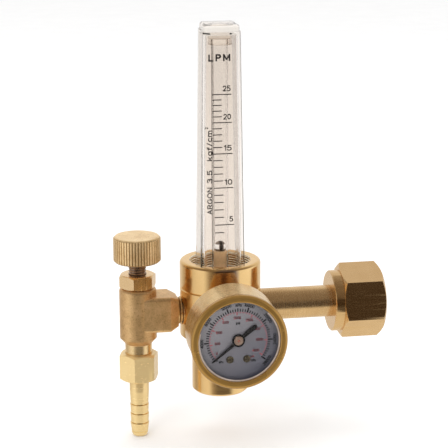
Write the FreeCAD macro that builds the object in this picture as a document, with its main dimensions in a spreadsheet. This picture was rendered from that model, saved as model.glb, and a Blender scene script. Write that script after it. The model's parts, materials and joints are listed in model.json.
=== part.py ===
"""Compact gas regulator with flow meter, high-pressure gauge and needle valve.

Frame: origin on the inlet axis at the mouth of the inlet nut, +X out of the mouth, +Z up along the flow
tube, -Y towards the reader of the gauge. The regulator body's own axis stands at x = -reach.
"""
import FreeCAD, Part
import math
import os
import re
import Sketcher

Vector = FreeCAD.Vector

DIMS = {
    # whole layout
    "reach": 74.8,            # body axis to inlet nut mouth
    "port_z": -0.8,           # height of the gauge and outlet ports against the inlet axis
    "valve_offset": 37.8,     # body axis to needle valve axis
    "fit_gap": 0.05,          # running clearance on the radius
    # regulator body
    "body_rad": 18.4,
    "body_low_rad": 13.0,
    "body_step_z": -13.4,
    "body_end_z": -39.2,
    "seam_z": 10.0,
    "spigot_rad": 15.2,
    "spigot_top_z": 12.8,
    "piston_bore": 9.5,
    "spring_top_z": -19.0,
    "plug_top_z": -34.2,
    "plug_rad": 10.5,
    "stem_bore": 4.2,
    "nozzle_top_z": -5.0,
    "riser_offset": 11.25,
    # collar
    "collar_top_z": 22.7,
    "collar_mouth": 13.8,
    "ledge_z": 15.8,
    # flow tube
    "shield_top_z": 129.9,
    "crown_z": 126.9,
    "shield_low_half": 10.2,
    "shield_top_half": 8.5,
    "shield_corner": 3.0,
    "shield_wall": 1.8,
    "ceiling_z": 125.2,
    "boss_end_z": 120.6,
    "boss_rad": 5.5,
    "tube_rad": 3.75,
    "tube_low_z": 9.0,
    "tube_top_z": 123.0,
    "tube_bore_low": 2.95,
    "tube_bore_top": 3.2,
    "ball_rad": 2.75,
    "ball_z": 28.45,
    "stop_z": 120.2,
    # inlet
    "stem_rad": 7.3,
    "stem_seat": 16.9,
    "stem_spigot": 6.0,
    "stem_bore_rad": 2.5,
    "nut_start": 51.2,
    "nut_collar_end": 55.5,
    "nut_collar_rad": 14.0,
    "nut_flats": 30.0,
    "nut_turn": -13.0,        # one flat faces the reader, tipped up
    "nut_shoulder": 58.0,
    "nut_bore": 10.35,
    "nut_relief_rad": 10.85,
    "nut_relief_end": 63.8,
    "nose_rad": 9.6,
    "nose_start": 58.3,
    "nose_end": 61.3,
    # gauge, measured from the body axis towards the reader
    "gauge_front": 51.05,
    "gauge_rear": 28.55,
    "bezel_rad": 21.1,
    "case_rad": 20.6,
    "case_wall": 0.8,
    "window_rad": 17.9,
    "lens_rad": 19.7,
    "lens_rear": 47.9,
    "lens_front": 49.4,
    "dial_rad": 19.3,
    "dial_front": 46.5,
    "dial_thick": 0.6,
    "gauge_seat": 17.0,
    "gauge_shank": 4.8,
    "socket_square": 12.0,
    "socket_front": 37.0,
    "plate_thick": 0.8,
    "front_plate": 44.2,
    "shaft_rad": 0.6,
    "bourdon_rad": 15.9,
    "bourdon_thick": 2.2,
    "bourdon_width": 5.6,
    "bourdon_low": 37.2,
    # gauge movement
    "gear_module": 0.25,
    "pinion_teeth": 12,
    "sector_teeth": 80,
    "sector_plane": 41.9,
    "sector_thick": 0.6,
    "pivot_angle": -60.0,
    "tail_arm": 4.0,
    "tail_angle": 30.0,
    "tip_angle": 10.0,
    "tip_pin_rad": 13.6,
    # needle valve
    "valve_rad": 8.4,
    "valve_top_z": 11.1,
    "valve_low_z": -13.0,
    "valve_neck": 6.1,
    "valve_end_z": -27.1,
    "block_half": 8.15,
    "block_end": 14.0,
    "block_nose": 17.8,
    "nipple_rad": 6.5,
    "nipple_end": 28.6,
    "chamber_rad": 3.6,
    "orifice_rad": 1.4,
    "orifice_z": -4.0,
    "gland_flats": 15.0,
    "gland_top_z": 17.6,
    "gland_low_z": 9.0,
    "stem_thread": 4.0,
    "stem_shank": 3.0,
    "knob_rad": 10.7,
    "knob_low_z": 23.4,
    "knob_top_z": 35.2,
    "knob_flutes": 50,
    "hex_turn": 11.6,
    # hose tail
    "hose_nut_flats": 16.0,
    "hose_nut_top_z": -19.8,
    "hose_nut_low_z": -32.3,
    "barb_shank": 5.1,
    "barb_root": 4.45,
    "barb_crest": 4.3,
    "barb_waist": 4.1,
    "barb_first_z": -44.5,
    "barb_pitch": 4.5,
    "barb_end_z": -59.4,
}

doc = FreeCAD.newDocument("gas_regulator")
sheet = doc.addObject("Spreadsheet::Sheet", "dims")
for row, (alias, value) in enumerate(DIMS.items(), start=1):
    sheet.set("A%d" % row, alias)
    sheet.set("B%d" % row, str(value))
    sheet.setAlias("B%d" % row, alias)
doc.recompute()

SUB_PARTS = []


def cells(text):
    """Turn an expression over aliases, such as "reach - 2", into one over the sheet's cells."""
    def cell(match):
        word = match.group()
        return "dims." + word if word in DIMS else word
    return re.sub(r"[a-z][a-z_]*", cell, str(text))


def size(text):
    """Value of an expression over aliases."""
    return float(sheet.evalExpression(cells(text)))


def bind(target, path, text):
    target.setExpression(path, cells(text))


def place(target, x="0", y="0", z="0", turn=None):
    """Put a sub-part in the frame: an optional turn, then a shift bound to the sheet."""
    if turn is not None:
        target.Placement = FreeCAD.Placement(Vector(), turn)
    for axis, text in (("x", x), ("y", y), ("z", z)):
        bind(target, "Placement.Base." + axis, text)


TO_X = FreeCAD.Rotation(Vector(0, 1, 0), 90)         # local Z runs along +X
TO_READER = FreeCAD.Rotation(Vector(1, 0, 0), 90)    # local Z runs along -Y, local Y up


def new_body(label):
    body = doc.addObject("PartDesign::Body", label)
    body.Label = label
    SUB_PARTS.append(body)
    return body


def on_body_axis(label):
    body = new_body(label)
    place(body, x="-reach")
    return body


def on_valve_axis(label):
    body = new_body(label)
    place(body, x="-reach - valve_offset")
    return body


def on_inlet_axis(label):
    """Local z is the distance from the body axis along +X."""
    body = new_body(label)
    place(body, x="-reach", turn=TO_X)
    return body


def on_gauge_axis(label):
    """Local x is right, y up and z towards the reader, from the body axis at the gauge port's height."""
    body = new_body(label)
    place(body, x="-reach", z="port_z", turn=TO_READER)
    return body


def plane(body, role):
    for feature in body.Origin.OriginFeatures:
        if feature.Role == role:
            return feature
    raise RuntimeError("no plane " + role)


def sketch_on(body, name, role, height="0"):
    sketch = body.newObject("Sketcher::SketchObject", name)
    sketch.AttachmentSupport = [(plane(body, role), "")]
    sketch.MapMode = "FlatFace"
    bind(sketch, "AttachmentOffset.Base.z", height)
    return sketch


def pin_point(sketch, geometry, position, x, y):
    """Fix one point of the sketch by two distances from its origin, bound to the sheet."""
    for kind, text in (("DistanceX", x), ("DistanceY", y)):
        index = sketch.addConstraint(Sketcher.Constraint(kind, -1, 1, geometry, position, size(text)))
        bind(sketch, "Constraints[%d]" % index, text)


def outline(body, name, points, role="XZ_Plane", height="0"):
    """Closed outline of straight runs through points written as expressions."""
    sketch = sketch_on(body, name, role, height)
    corners = [Vector(size(x), size(y), 0) for x, y in points]
    count = len(corners)
    for i, corner in enumerate(corners):
        sketch.addGeometry(Part.LineSegment(corner, corners[(i + 1) % count]))
    for i in range(count):
        sketch.addConstraint(Sketcher.Constraint("Coincident", i, 2, (i + 1) % count, 1))
    for i, (x, y) in enumerate(points):
        pin_point(sketch, i, 1, x, y)
    return sketch


def circles(body, name, places, role="XY_Plane", height="0"):
    """Circles at (x, y, radius), all expressions."""
    sketch = sketch_on(body, name, role, height)
    for x, y, radius in places:
        centre = Vector(size(x), size(y), 0)
        index = sketch.addGeometry(Part.Circle(centre, Vector(0, 0, 1), size(radius)))
        pin_point(sketch, index, 3, x, y)
        constraint = sketch.addConstraint(Sketcher.Constraint("Radius", index, size(radius)))
        bind(sketch, "Constraints[%d]" % constraint, radius)
    return sketch


def rounded_square(body, name, half, corner, height, role="XY_Plane", middle="0"):
    """Square with round corners, centred at a point of the sketch's y axis."""
    sketch = sketch_on(body, name, role, height)
    side = size(half)
    flat = side - size(corner)
    shift = size(middle)
    signs = ((1, 1), (-1, 1), (-1, -1), (1, -1))
    for k, (sx, sy) in enumerate(signs):
        circle = Part.Circle(Vector(sx * flat, shift + sy * flat, 0), Vector(0, 0, 1), size(corner))
        start = math.radians(90 * k)
        sketch.addGeometry(Part.ArcOfCircle(circle, start, start + math.pi / 2))
    runs = (((flat, side), (-flat, side)), ((-side, flat), (-side, -flat)),
            ((-flat, -side), (flat, -side)), ((side, -flat), (side, flat)))
    for k, ((x0, y0), (x1, y1)) in enumerate(runs):
        sketch.addGeometry(Part.LineSegment(Vector(x0, shift + y0, 0), Vector(x1, shift + y1, 0)))
        sketch.addConstraint(Sketcher.Constraint("Tangent", k, 2, 4 + k, 1))
        sketch.addConstraint(Sketcher.Constraint("Tangent", 4 + k, 2, (k + 1) % 4, 1))
    for k, (sx, sy) in enumerate(signs):
        pin_point(sketch, k, 3, "%d * (%s - (%s))" % (sx, half, corner),
                  "%s + %d * (%s - (%s))" % (middle, sy, half, corner))
    radius = sketch.addConstraint(Sketcher.Constraint("Radius", 0, size(corner)))
    bind(sketch, "Constraints[%d]" % radius, corner)
    for k in range(1, 4):
        sketch.addConstraint(Sketcher.Constraint("Equal", 0, k))
    return sketch


def revolve(body, name, points, angle=360):
    """Solid of revolution about local z from (radius, z) points."""
    profile = outline(body, name + "_profile", points)
    feature = body.newObject("PartDesign::Revolution", name)
    feature.Profile = profile
    feature.ReferenceAxis = (profile, ["V_Axis"])
    feature.Angle = angle
    return feature


def groove(body, name, points, angle=360):
    """Turned cut about local z from (radius, z) points."""
    profile = outline(body, name + "_profile", points)
    feature = body.newObject("PartDesign::Groove", name)
    feature.Profile = profile
    feature.ReferenceAxis = (profile, ["V_Axis"])
    feature.Angle = angle
    return feature


def pad(body, name, profile, length):
    feature = body.newObject("PartDesign::Pad", name)
    feature.Profile = profile
    bind(feature, "Length", length)
    return feature


def pocket_up(body, name, profile, length):
    """Pocket that cuts from the sketch towards +z of the local frame."""
    feature = body.newObject("PartDesign::Pocket", name)
    feature.Profile = profile
    bind(feature, "Length", length)
    feature.Reversed = True
    return feature


AXIS_TURN = {
    "+x": FreeCAD.Rotation(Vector(0, 1, 0), 90),
    "-x": FreeCAD.Rotation(Vector(0, 1, 0), -90),
    "+y": FreeCAD.Rotation(Vector(1, 0, 0), -90),
    "-y": FreeCAD.Rotation(Vector(1, 0, 0), 90),
    "+z": FreeCAD.Rotation(),
}


def drill(body, name, radius, length, direction, start):
    """Cylindrical hole from start (x, y, z) along a local axis direction."""
    feature = body.newObject("PartDesign::SubtractiveCylinder", name)
    bind(feature, "Radius", radius)
    bind(feature, "Height", length)
    turn = AXIS_TURN[direction] if isinstance(direction, str) else direction
    place(feature, start[0], start[1], start[2], turn)
    return feature


def rod(body, name, radius, length, start, direction="+z"):
    """Cylinder added from start along a local axis direction."""
    feature = body.newObject("PartDesign::AdditiveCylinder", name)
    bind(feature, "Radius", radius)
    bind(feature, "Height", length)
    place(feature, start[0], start[1], start[2], AXIS_TURN[direction])
    return feature


def ring_edges(feature, radius, height):
    """Names of the circular edges about local z with this radius at this height."""
    found = []
    for index, edge in enumerate(feature.Shape.Edges, start=1):
        curve = edge.Curve
        if not isinstance(curve, Part.Circle):
            continue
        on_axis = abs(curve.Center.x) < 0.01 and abs(curve.Center.y) < 0.01
        if on_axis and abs(curve.Radius - size(radius)) < 0.01 and abs(curve.Center.z - size(height)) < 0.01:
            found.append("Edge%d" % index)
    return found


def fillet(body, name, edges, radius):
    base = body.Tip
    feature = body.newObject("PartDesign::Fillet", name)
    feature.Base = (base, edges)
    bind(feature, "Radius", radius)
    return feature


def round_rings(body, name, rings, radius):
    """Fillet circular edges given as (radius, height) pairs."""
    doc.recompute()
    edges = []
    for ring in rings:
        edges += ring_edges(body.Tip, *ring)
    if len(edges) != len(rings):
        raise RuntimeError("%s: found %d of %d edges" % (name, len(edges), len(rings)))
    return fillet(body, name, edges, radius)


def thread(body, name, radius, start, turns, pitch, depth, inside=False):
    """Thread drawn as a stack of V grooves about local z."""
    sign = 1 if inside else -1
    surface = "%s + %s" % (radius, -0.02 * sign)
    points = [
        (surface, "%s" % start),
        ("%s + %s" % (radius, sign * depth), "%s + %s" % (start, 0.4 * pitch)),
        ("%s + %s" % (radius, sign * depth), "%s + %s" % (start, 0.5 * pitch)),
        (surface, "%s + %s" % (start, 0.9 * pitch)),
    ]
    cut = groove(body, name, points)
    pattern = body.newObject("PartDesign::LinearPattern", name + "_row")
    pattern.Originals = [cut]
    pattern.Direction = (cut.Profile[0], ["V_Axis"])
    pattern.Length = pitch * (turns - 1)
    pattern.Occurrences = turns
    body.Tip = pattern
    return pattern


def hexagon(flats, turn):
    """Corner expressions of a hexagon across flats, with one corner at the turn angle."""
    corners = []
    for k in range(6):
        angle = math.radians(turn + 60 * k)
        corners.append(("(%s) / sqrt(3) * %.6f" % (flats, math.cos(angle)),
                        "(%s) / sqrt(3) * %.6f" % (flats, math.sin(angle))))
    return corners


def hex_pad(body, name, flats, low, length, turn):
    return pad(body, name, outline(body, name + "_outline", hexagon(flats, turn), "XY_Plane", low), length)


def hex_chamfer(body, name, flats, end, inward, flat_share=0.96):
    """Conical cut of 30 degrees on a hexagon's corners; inward is +1 when the nut lies above the end."""
    touch = "(%s) / 2 * %s" % (flats, flat_share)
    outside = "(%s) * 0.62" % flats
    drop = "%d * ((%s) - (%s)) * tan(30)" % (inward, outside, touch)
    return groove(body, name, [
        (touch, "%s - %s" % (end, inward * 0.01)),
        (outside, "%s - %s" % (end, inward * 0.01)),
        (outside, "%s + %s" % (end, drop)),
    ])


def o_ring(label, maker, ring_radius, cord_radius, height):
    """Torus of round rubber cord about the local z axis."""
    body = maker(label)
    sketch = circles(body, "cord", [(ring_radius, height, cord_radius)], "XZ_Plane")
    feature = body.newObject("PartDesign::Revolution", "ring")
    feature.Profile = sketch
    feature.ReferenceAxis = (sketch, ["V_Axis"])
    feature.Angle = 360
    return body


def tube_ring(label, maker, inner, outer, low, high):
    """Plain flat ring about local z."""
    body = maker(label)
    revolve(body, "ring", [(inner, low), (outer, low), (outer, high), (inner, high)])
    return body


# ---------------------------------------------------------------- regulator body

def regulator_body():
    body = on_body_axis("regulator_body")
    revolve(body, "turned", [
        ("0", "body_end_z"),
        ("body_low_rad - 1", "body_end_z"),
        ("body_low_rad", "body_end_z + 1"),
        ("body_low_rad", "body_step_z"),
        ("body_rad - 1.4", "body_step_z"),
        ("body_rad", "body_step_z + 1.2"),
        ("body_rad", "seam_z - 0.4"),
        ("body_rad - 0.4", "seam_z"),
        ("spigot_rad", "seam_z"),
        ("spigot_rad", "spigot_top_z - 0.5"),
        ("spigot_rad - 0.5", "spigot_top_z"),
        ("0", "spigot_top_z"),
    ])
    groove(body, "piston_cavity", [
        ("0", "body_end_z - 1"),
        ("plug_rad", "body_end_z - 1"),
        ("plug_rad", "plug_top_z"),
        ("piston_bore", "plug_top_z"),
        ("piston_bore", "spring_top_z"),
        ("stem_bore", "spring_top_z"),
        ("stem_bore", "nozzle_top_z"),
        ("1.5", "nozzle_top_z"),
        ("1.5", "0"),
        ("0", "0"),
    ])
    groove(body, "tube_socket", [
        ("0", "tube_low_z - 3.5"),
        ("1.2", "tube_low_z - 3.5"),
        ("1.2", "tube_low_z"),
        ("tube_rad + 0.1", "tube_low_z"),
        ("tube_rad + 0.1", "spigot_top_z - 1.7"),
        ("tube_rad + 1.5", "spigot_top_z - 1.7"),
        ("tube_rad + 1.5", "spigot_top_z + 1"),
        ("0", "spigot_top_z + 1"),
    ])
    groove(body, "gas_channel", [
        ("6.6", "spigot_top_z - 2.4"),
        ("10.6", "spigot_top_z - 2.4"),
        ("10.6", "spigot_top_z + 1"),
        ("6.6", "spigot_top_z + 1"),
    ])
    groove(body, "seal_channel", [
        ("11.7", "spigot_top_z - 1.7"),
        ("13.5", "spigot_top_z - 1.7"),
        ("13.5", "spigot_top_z + 1"),
        ("11.7", "spigot_top_z + 1"),
    ])
    drill(body, "inlet_spot_face", "stem_rad + 0.1", "6", "+x", ("stem_seat", "0", "0"))
    drill(body, "inlet_port", "stem_spigot + fit_gap", "12", "+x", ("8.5", "0", "0"))
    drill(body, "inlet_passage", "2", "9", "+x", ("0", "0", "0"))
    drill(body, "gauge_spot_face", "7.3", "6", "-y", ("0", "-gauge_seat", "port_z"))
    drill(body, "gauge_port", "gauge_shank + fit_gap", "12", "-y", ("0", "-9.5", "port_z"))
    drill(body, "gauge_passage", "0.8", "10", "-y", ("0", "0", "port_z"))
    nipple_face = "nipple_end - valve_offset + 0.3"
    drill(body, "outlet_port", "nipple_rad + fit_gap", "14", "-x", (nipple_face, "0", "port_z"))
    drill(body, "outlet_passage", "0.9", "spigot_top_z - port_z", "+z", ("-9.9", "0", "port_z"))
    diagonal = "riser_offset * %.6f" % math.sqrt(0.5)
    drill(body, "riser", "0.9", "5.5 - plug_top_z", "+z", ("-" + diagonal, diagonal, "plug_top_z + 1.2"))
    to_centre = FreeCAD.Rotation(Vector(0, 0, 1), Vector(1, -1, 0))
    drill(body, "riser_inlet", "0.8", "3", to_centre, ("-" + diagonal, diagonal, "plug_top_z + 1.2"))
    riser_top = ("-" + diagonal, diagonal, "tube_low_z - 2.5")
    drill(body, "riser_outlet", "0.9", "riser_offset", to_centre, riser_top)
    drill(body, "vent", "0.8", "8", "+y", ("0", "8", "spring_top_z - 2"))
    thread(body, "spigot_thread", "spigot_rad", "seam_z + 0.2", 2, 1.0, 0.4)
    return body


def end_plug():
    body = on_body_axis("end_plug")
    revolve(body, "disc", [
        ("0", "body_end_z + 0.3"),
        ("plug_rad - 0.75", "body_end_z + 0.3"),
        ("plug_rad - 0.05", "body_end_z + 1"),
        ("plug_rad - 0.05", "plug_top_z - 1.6"),
        ("plug_rad - 1.6", "plug_top_z - 1.6"),
        ("plug_rad - 1.6", "plug_top_z"),
        ("0", "plug_top_z"),
    ])
    thread(body, "plug_thread", "plug_rad - 0.05", "body_end_z + 1.1", 2, 0.9, 0.35)
    key = outline(body, "key_outline", hexagon("8", 0), "XY_Plane", "body_end_z - 1")
    pocket_up(body, "key_socket", key, "3.8")
    return body


def seat_nozzle():
    body = on_body_axis("seat_nozzle")
    revolve(body, "nozzle", [
        ("1.0", "nozzle_top_z"),
        ("stem_bore - 0.05", "nozzle_top_z"),
        ("stem_bore - 0.05", "nozzle_top_z - 4.2"),
        ("2.6", "nozzle_top_z - 4.2"),
        ("1.7", "nozzle_top_z - 5.2"),
        ("1.0", "nozzle_top_z - 5.2"),
    ])
    return body


def regulating_piston():
    body = on_body_axis("regulating_piston")
    revolve(body, "turned", [
        ("0", "nozzle_top_z - 6.6"),
        ("3.1", "nozzle_top_z - 6.6"),
        ("3.1", "nozzle_top_z - 6.3"),
        ("3.5", "nozzle_top_z - 6.3"),
        ("3.5", "nozzle_top_z - 9.4"),
        ("stem_bore - fit_gap", "nozzle_top_z - 9.4"),
        ("stem_bore - fit_gap", "spring_top_z + 2.2"),
        ("2.75", "spring_top_z + 2.2"),
        ("2.75", "spring_top_z + 0.7"),
        ("stem_bore - fit_gap", "spring_top_z + 0.7"),
        ("stem_bore - fit_gap", "spring_top_z - 8.5"),
        ("piston_bore - fit_gap", "spring_top_z - 8.5"),
        ("piston_bore - fit_gap", "spring_top_z - 9.5"),
        ("piston_bore - 1.9", "spring_top_z - 9.5"),
        ("piston_bore - 1.9", "spring_top_z - 11.5"),
        ("piston_bore - fit_gap", "spring_top_z - 11.5"),
        ("piston_bore - fit_gap", "spring_top_z - 12.5"),
        ("4", "spring_top_z - 12.5"),
        ("4", "plug_top_z + 0.02"),
        ("0", "plug_top_z + 0.02"),
    ])
    drill(body, "gas_bore", "1.5", "nozzle_top_z - 8.5 - plug_top_z + 2", "+z", ("0", "0", "plug_top_z - 2"))
    drill(body, "cross_bore", "0.7", "10", "+x", ("-5", "0", "nozzle_top_z - 8.4"))
    drill(body, "foot_slot", "0.6", "10", "+y", ("0", "-5", "plug_top_z + 0.6"))
    return body


def seat_disc():
    body = on_body_axis("seat_disc")
    revolve(body, "disc", [
        ("0", "nozzle_top_z - 6.6"),
        ("3.05", "nozzle_top_z - 6.6"),
        ("3.05", "nozzle_top_z - 6.3"),
        ("2.5", "nozzle_top_z - 6.25"),
        ("0", "nozzle_top_z - 6.25"),
    ])
    return body


def coil_spring(label, mean_radius, wire_radius, low, high, turns):
    """Round-wire spring about the body axis, with its end coils ground by two planes."""
    start = size(low) + 0.02
    height = size(high) - size(low) - 0.04
    inner_height = height - 2 * wire_radius
    pitch = inner_height / turns
    helix = Part.makeHelix(pitch, inner_height, mean_radius)
    helix.translate(Vector(0, 0, start + wire_radius))
    edge = helix.Edges[0]
    begin = edge.valueAt(edge.FirstParameter)
    tangent = edge.tangentAt(edge.FirstParameter)
    section = Part.Wire([Part.makeCircle(wire_radius, begin, tangent)])
    spring = doc.addObject("Part::Feature", label)
    spring.Label = label
    spring.Shape = helix.makePipeShell([section], True, True)
    place(spring, x="-reach")
    SUB_PARTS.append(spring)
    return spring


# ---------------------------------------------------------------- flow meter

def flow_tube_collar():
    body = on_body_axis("flow_tube_collar")
    revolve(body, "ring", [
        ("spigot_rad + 0.1", "seam_z"),
        ("body_rad - 0.4", "seam_z"),
        ("body_rad", "seam_z + 0.4"),
        ("body_rad", "collar_top_z"),
        ("collar_mouth", "collar_top_z"),
        ("collar_mouth", "ledge_z"),
        ("spigot_rad + 0.1", "ledge_z"),
    ])
    round_rings(body, "outer_rim", [("body_rad", "collar_top_z")], "1.6")
    round_rings(body, "inner_rim", [("collar_mouth", "collar_top_z")], "0.6")
    thread(body, "mouth_thread", "collar_mouth", "ledge_z + 0.3", 5, 1.1, 0.45, inside=True)
    return body


def flow_tube_shield():
    body = on_body_axis("flow_tube_shield")
    revolve(body, "flange", [
        ("0", "spigot_top_z"),
        ("spigot_rad - 0.3", "spigot_top_z"),
        ("spigot_rad - 0.3", "ledge_z - 0.02"),
        ("0", "ledge_z - 0.02"),
    ])
    low = rounded_square(body, "foot_outline", "shield_low_half", "shield_corner", "spigot_top_z")
    top = rounded_square(body, "head_outline", "shield_top_half", "shield_corner", "crown_z")
    walls = body.newObject("PartDesign::AdditiveLoft", "walls")
    walls.Profile = low
    walls.Sections = [top]
    walls.Ruled = True
    inset = "shield_top_half - 0.5"
    crown = rounded_square(body, "crown_outline", inset, "shield_corner - 0.5", "crown_z - 0.5")
    pad(body, "crown", crown, "shield_top_z - crown_z + 0.5")
    low = rounded_square(body, "cavity_foot", "shield_low_half - shield_wall", "1.6", "spigot_top_z - 1")
    top = rounded_square(body, "cavity_head", "shield_top_half - shield_wall", "1.6", "ceiling_z")
    cavity = body.newObject("PartDesign::SubtractiveLoft", "cavity")
    cavity.Profile = low
    cavity.Sections = [top]
    cavity.Ruled = True
    pad(body, "boss", circles(body, "boss_outline", [("0", "0", "boss_rad")], "XY_Plane", "boss_end_z"),
        "ceiling_z - boss_end_z + 0.5")
    drill(body, "tube_socket", "tube_rad + 0.1", "tube_top_z - boss_end_z + 1.1", "+z",
          ("0", "0", "boss_end_z - 1"))
    doc.recompute()
    rim = []
    for index, edge in enumerate(body.Tip.Shape.Edges, start=1):
        if abs(edge.BoundBox.ZMin - size("shield_top_z")) < 0.01:
            rim.append("Edge%d" % index)
    fillet(body, "crown_round", rim, "1.4")
    return body


def metering_tube():
    body = on_body_axis("metering_tube")
    revolve(body, "tube", [
        ("tube_bore_low", "tube_low_z"),
        ("tube_rad", "tube_low_z"),
        ("tube_rad", "tube_top_z"),
        ("tube_bore_top", "tube_top_z"),
        ("tube_bore_top", "stop_z"),
        ("tube_bore_low", "ball_z - ball_rad"),
    ])
    return body


def lower_float_stop():
    """Brass plug whose 45 degree cup carries the ball."""
    body = on_body_axis("lower_float_stop")
    apex = "ball_z - ball_rad * sqrt(2) - 0.02"
    revolve(body, "plug", [
        ("0.9", "tube_low_z"),
        ("tube_bore_low - fit_gap", "tube_low_z"),
        ("tube_bore_low - fit_gap", apex + " + 2.1"),
        ("tube_bore_low - 0.65", apex + " + tube_bore_low - 0.65"),
        ("0.9", apex + " + 0.9"),
    ])
    return body


def upper_float_stop():
    body = on_body_axis("upper_float_stop")
    revolve(body, "plug", [
        ("0.8", "stop_z"),
        ("2.2", "stop_z"),
        ("tube_bore_top - fit_gap", "stop_z + 1"),
        ("tube_bore_top - fit_gap", "tube_top_z"),
        ("0.8", "tube_top_z"),
    ])
    return body


def float_ball():
    ball = doc.addObject("Part::Sphere", "float_ball")
    ball.Label = "float_ball"
    bind(ball, "Radius", "ball_rad")
    place(ball, x="-reach", z="ball_z")
    SUB_PARTS.append(ball)
    return ball


# ---------------------------------------------------------------- inlet

def inlet_stem():
    body = on_inlet_axis("inlet_stem")
    revolve(body, "turned", [
        ("stem_bore_rad", "8.8"),
        ("stem_spigot - 0.5", "8.8"),
        ("stem_spigot", "9.3"),
        ("stem_spigot", "stem_seat"),
        ("stem_rad", "stem_seat"),
        ("stem_rad", "nose_start"),
        ("nose_rad", "nose_start"),
        ("nose_rad", "nose_end"),
        ("4.1", "nose_end"),
        ("4.1", "nose_end - 6.5"),
        ("stem_bore_rad", "nose_end - 6.5"),
    ])
    thread(body, "spigot_thread", "stem_spigot", "9.6", 6, 1.1, 0.4)
    return body


def inlet_nut():
    body = on_inlet_axis("inlet_nut")
    revolve(body, "collar", [
        ("0", "nut_start"),
        ("nut_collar_rad - 0.5", "nut_start"),
        ("nut_collar_rad", "nut_start + 0.5"),
        ("nut_collar_rad", "nut_collar_end + 1"),
        ("0", "nut_collar_end + 1"),
    ])
    hex_pad(body, "hexagon", "nut_flats", "nut_collar_end", "reach - nut_collar_end",
            size("nut_turn"))
    hex_chamfer(body, "mouth_chamfer", "nut_flats", "reach", -1)
    hex_chamfer(body, "rear_chamfer", "nut_flats", "nut_collar_end", 1, 1.02)
    groove(body, "bores", [
        ("0", "nut_start - 1"),
        ("stem_rad + fit_gap", "nut_start - 1"),
        ("stem_rad + fit_gap", "nut_shoulder"),
        ("nut_relief_rad", "nut_shoulder"),
        ("nut_relief_rad", "nut_relief_end"),
        ("nut_bore", "nut_relief_end"),
        ("nut_bore", "reach + 1"),
        ("0", "reach + 1"),
    ])
    return body


def inlet_filter():
    body = on_inlet_axis("inlet_filter")
    revolve(body, "plug", [
        ("0", "nose_end - 6.5"),
        ("4.05", "nose_end - 6.5"),
        ("4.05", "nose_end - 1.6"),
        ("0", "nose_end - 1.6"),
    ])
    return body


# ---------------------------------------------------------------- pressure gauge

def polar(radius, angle):
    """Point expressions at a radius (expression) and an angle in degrees (expression)."""
    return ("(%s) * cos(%s)" % (radius, angle), "(%s) * sin(%s)" % (radius, angle))


CENTRE_DISTANCE = "gear_module * (pinion_teeth + sector_teeth) / 2"
PIVOT = polar(CENTRE_DISTANCE, "pivot_angle")
PILLARS = (("-4.5", "-11"), ("-1.8", "5"))
DIAL_SCREWS = (("-3.7", "-8.65"), ("3.7", "-8.65"))


def gauge_socket():
    body = on_gauge_axis("gauge_socket")
    revolve(body, "shank", [
        ("0", "10"),
        ("gauge_shank - 0.4", "10"),
        ("gauge_shank", "10.4"),
        ("gauge_shank", "gauge_rear + case_wall"),
        ("0", "gauge_rear + case_wall"),
    ])
    thread(body, "shank_thread", "gauge_shank", "10.6", 6, 1.0, 0.35)
    wrench = "socket_square / 2"
    square = [(sx + wrench, sy + wrench) for sx, sy in (("", ""), ("-", ""), ("-", "-"), ("", "-"))]
    pad(body, "wrench_square", outline(body, "square_outline", square, "XY_Plane", "gauge_seat + 1.6"),
        "gauge_rear - gauge_seat - 1.6")
    block = [("6", "5.5"), ("-6", "5.5"), ("-6", "-12"), ("-3", "-17.6"), ("5", "-17.6"), ("6", "-12")]
    pad(body, "block", outline(body, "block_outline", block, "XY_Plane", "gauge_rear + case_wall"),
        "socket_front - gauge_rear - case_wall")
    boss = [("5", "-13.6"), ("-0.6", "-13.6"), ("-0.6", "-17.6"), ("5", "-17.6")]
    pad(body, "tube_boss", outline(body, "boss_outline", boss, "XY_Plane", "socket_front - 0.5"),
        "bourdon_low + bourdon_width - socket_front + 1")
    drill(body, "gas_bore", "0.9", "23", "+z", ("0", "0", "9"))
    return body


def gauge_case():
    body = on_gauge_axis("gauge_case")
    revolve(body, "cup", [
        ("gauge_shank + fit_gap", "gauge_rear"),
        ("case_rad - 1.2", "gauge_rear"),
        ("case_rad - 0.35", "gauge_rear + 0.35"),
        ("case_rad", "gauge_rear + 1.2"),
        ("case_rad", "lens_rear + 0.3"),
        ("case_rad - case_wall", "lens_rear + 0.3"),
        ("case_rad - case_wall", "gauge_rear + case_wall + 0.6"),
        ("case_rad - case_wall - 0.6", "gauge_rear + case_wall"),
        ("gauge_shank + fit_gap", "gauge_rear + case_wall"),
    ])
    return body


def gauge_bezel():
    body = on_gauge_axis("gauge_bezel")
    revolve(body, "ring", [
        ("case_rad + 0.05", "lens_rear"),
        ("bezel_rad", "lens_rear"),
        ("bezel_rad", "gauge_front"),
        ("window_rad", "gauge_front"),
        ("window_rad", "lens_front + 0.1"),
        ("case_rad + 0.05", "lens_front + 0.1"),
    ])
    round_rings(body, "outer_round", [("bezel_rad", "gauge_front")], "1.5")
    round_rings(body, "inner_round", [("window_rad", "gauge_front")], "0.7")
    return body


def gauge_dial():
    body = on_gauge_axis("gauge_dial")
    low = "dial_front - dial_thick"
    pad(body, "disc", circles(body, "rim", [("0", "0", "dial_rad")], "XY_Plane", low), "dial_thick")
    holes = [("0", "0", "shaft_rad + 0.4")] + [(x, y, "0.95") for x, y in DIAL_SCREWS]
    pocket_up(body, "holes", circles(body, "hole_outlines", holes, "XY_Plane", low + " - 1"), "3")
    return body


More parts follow.
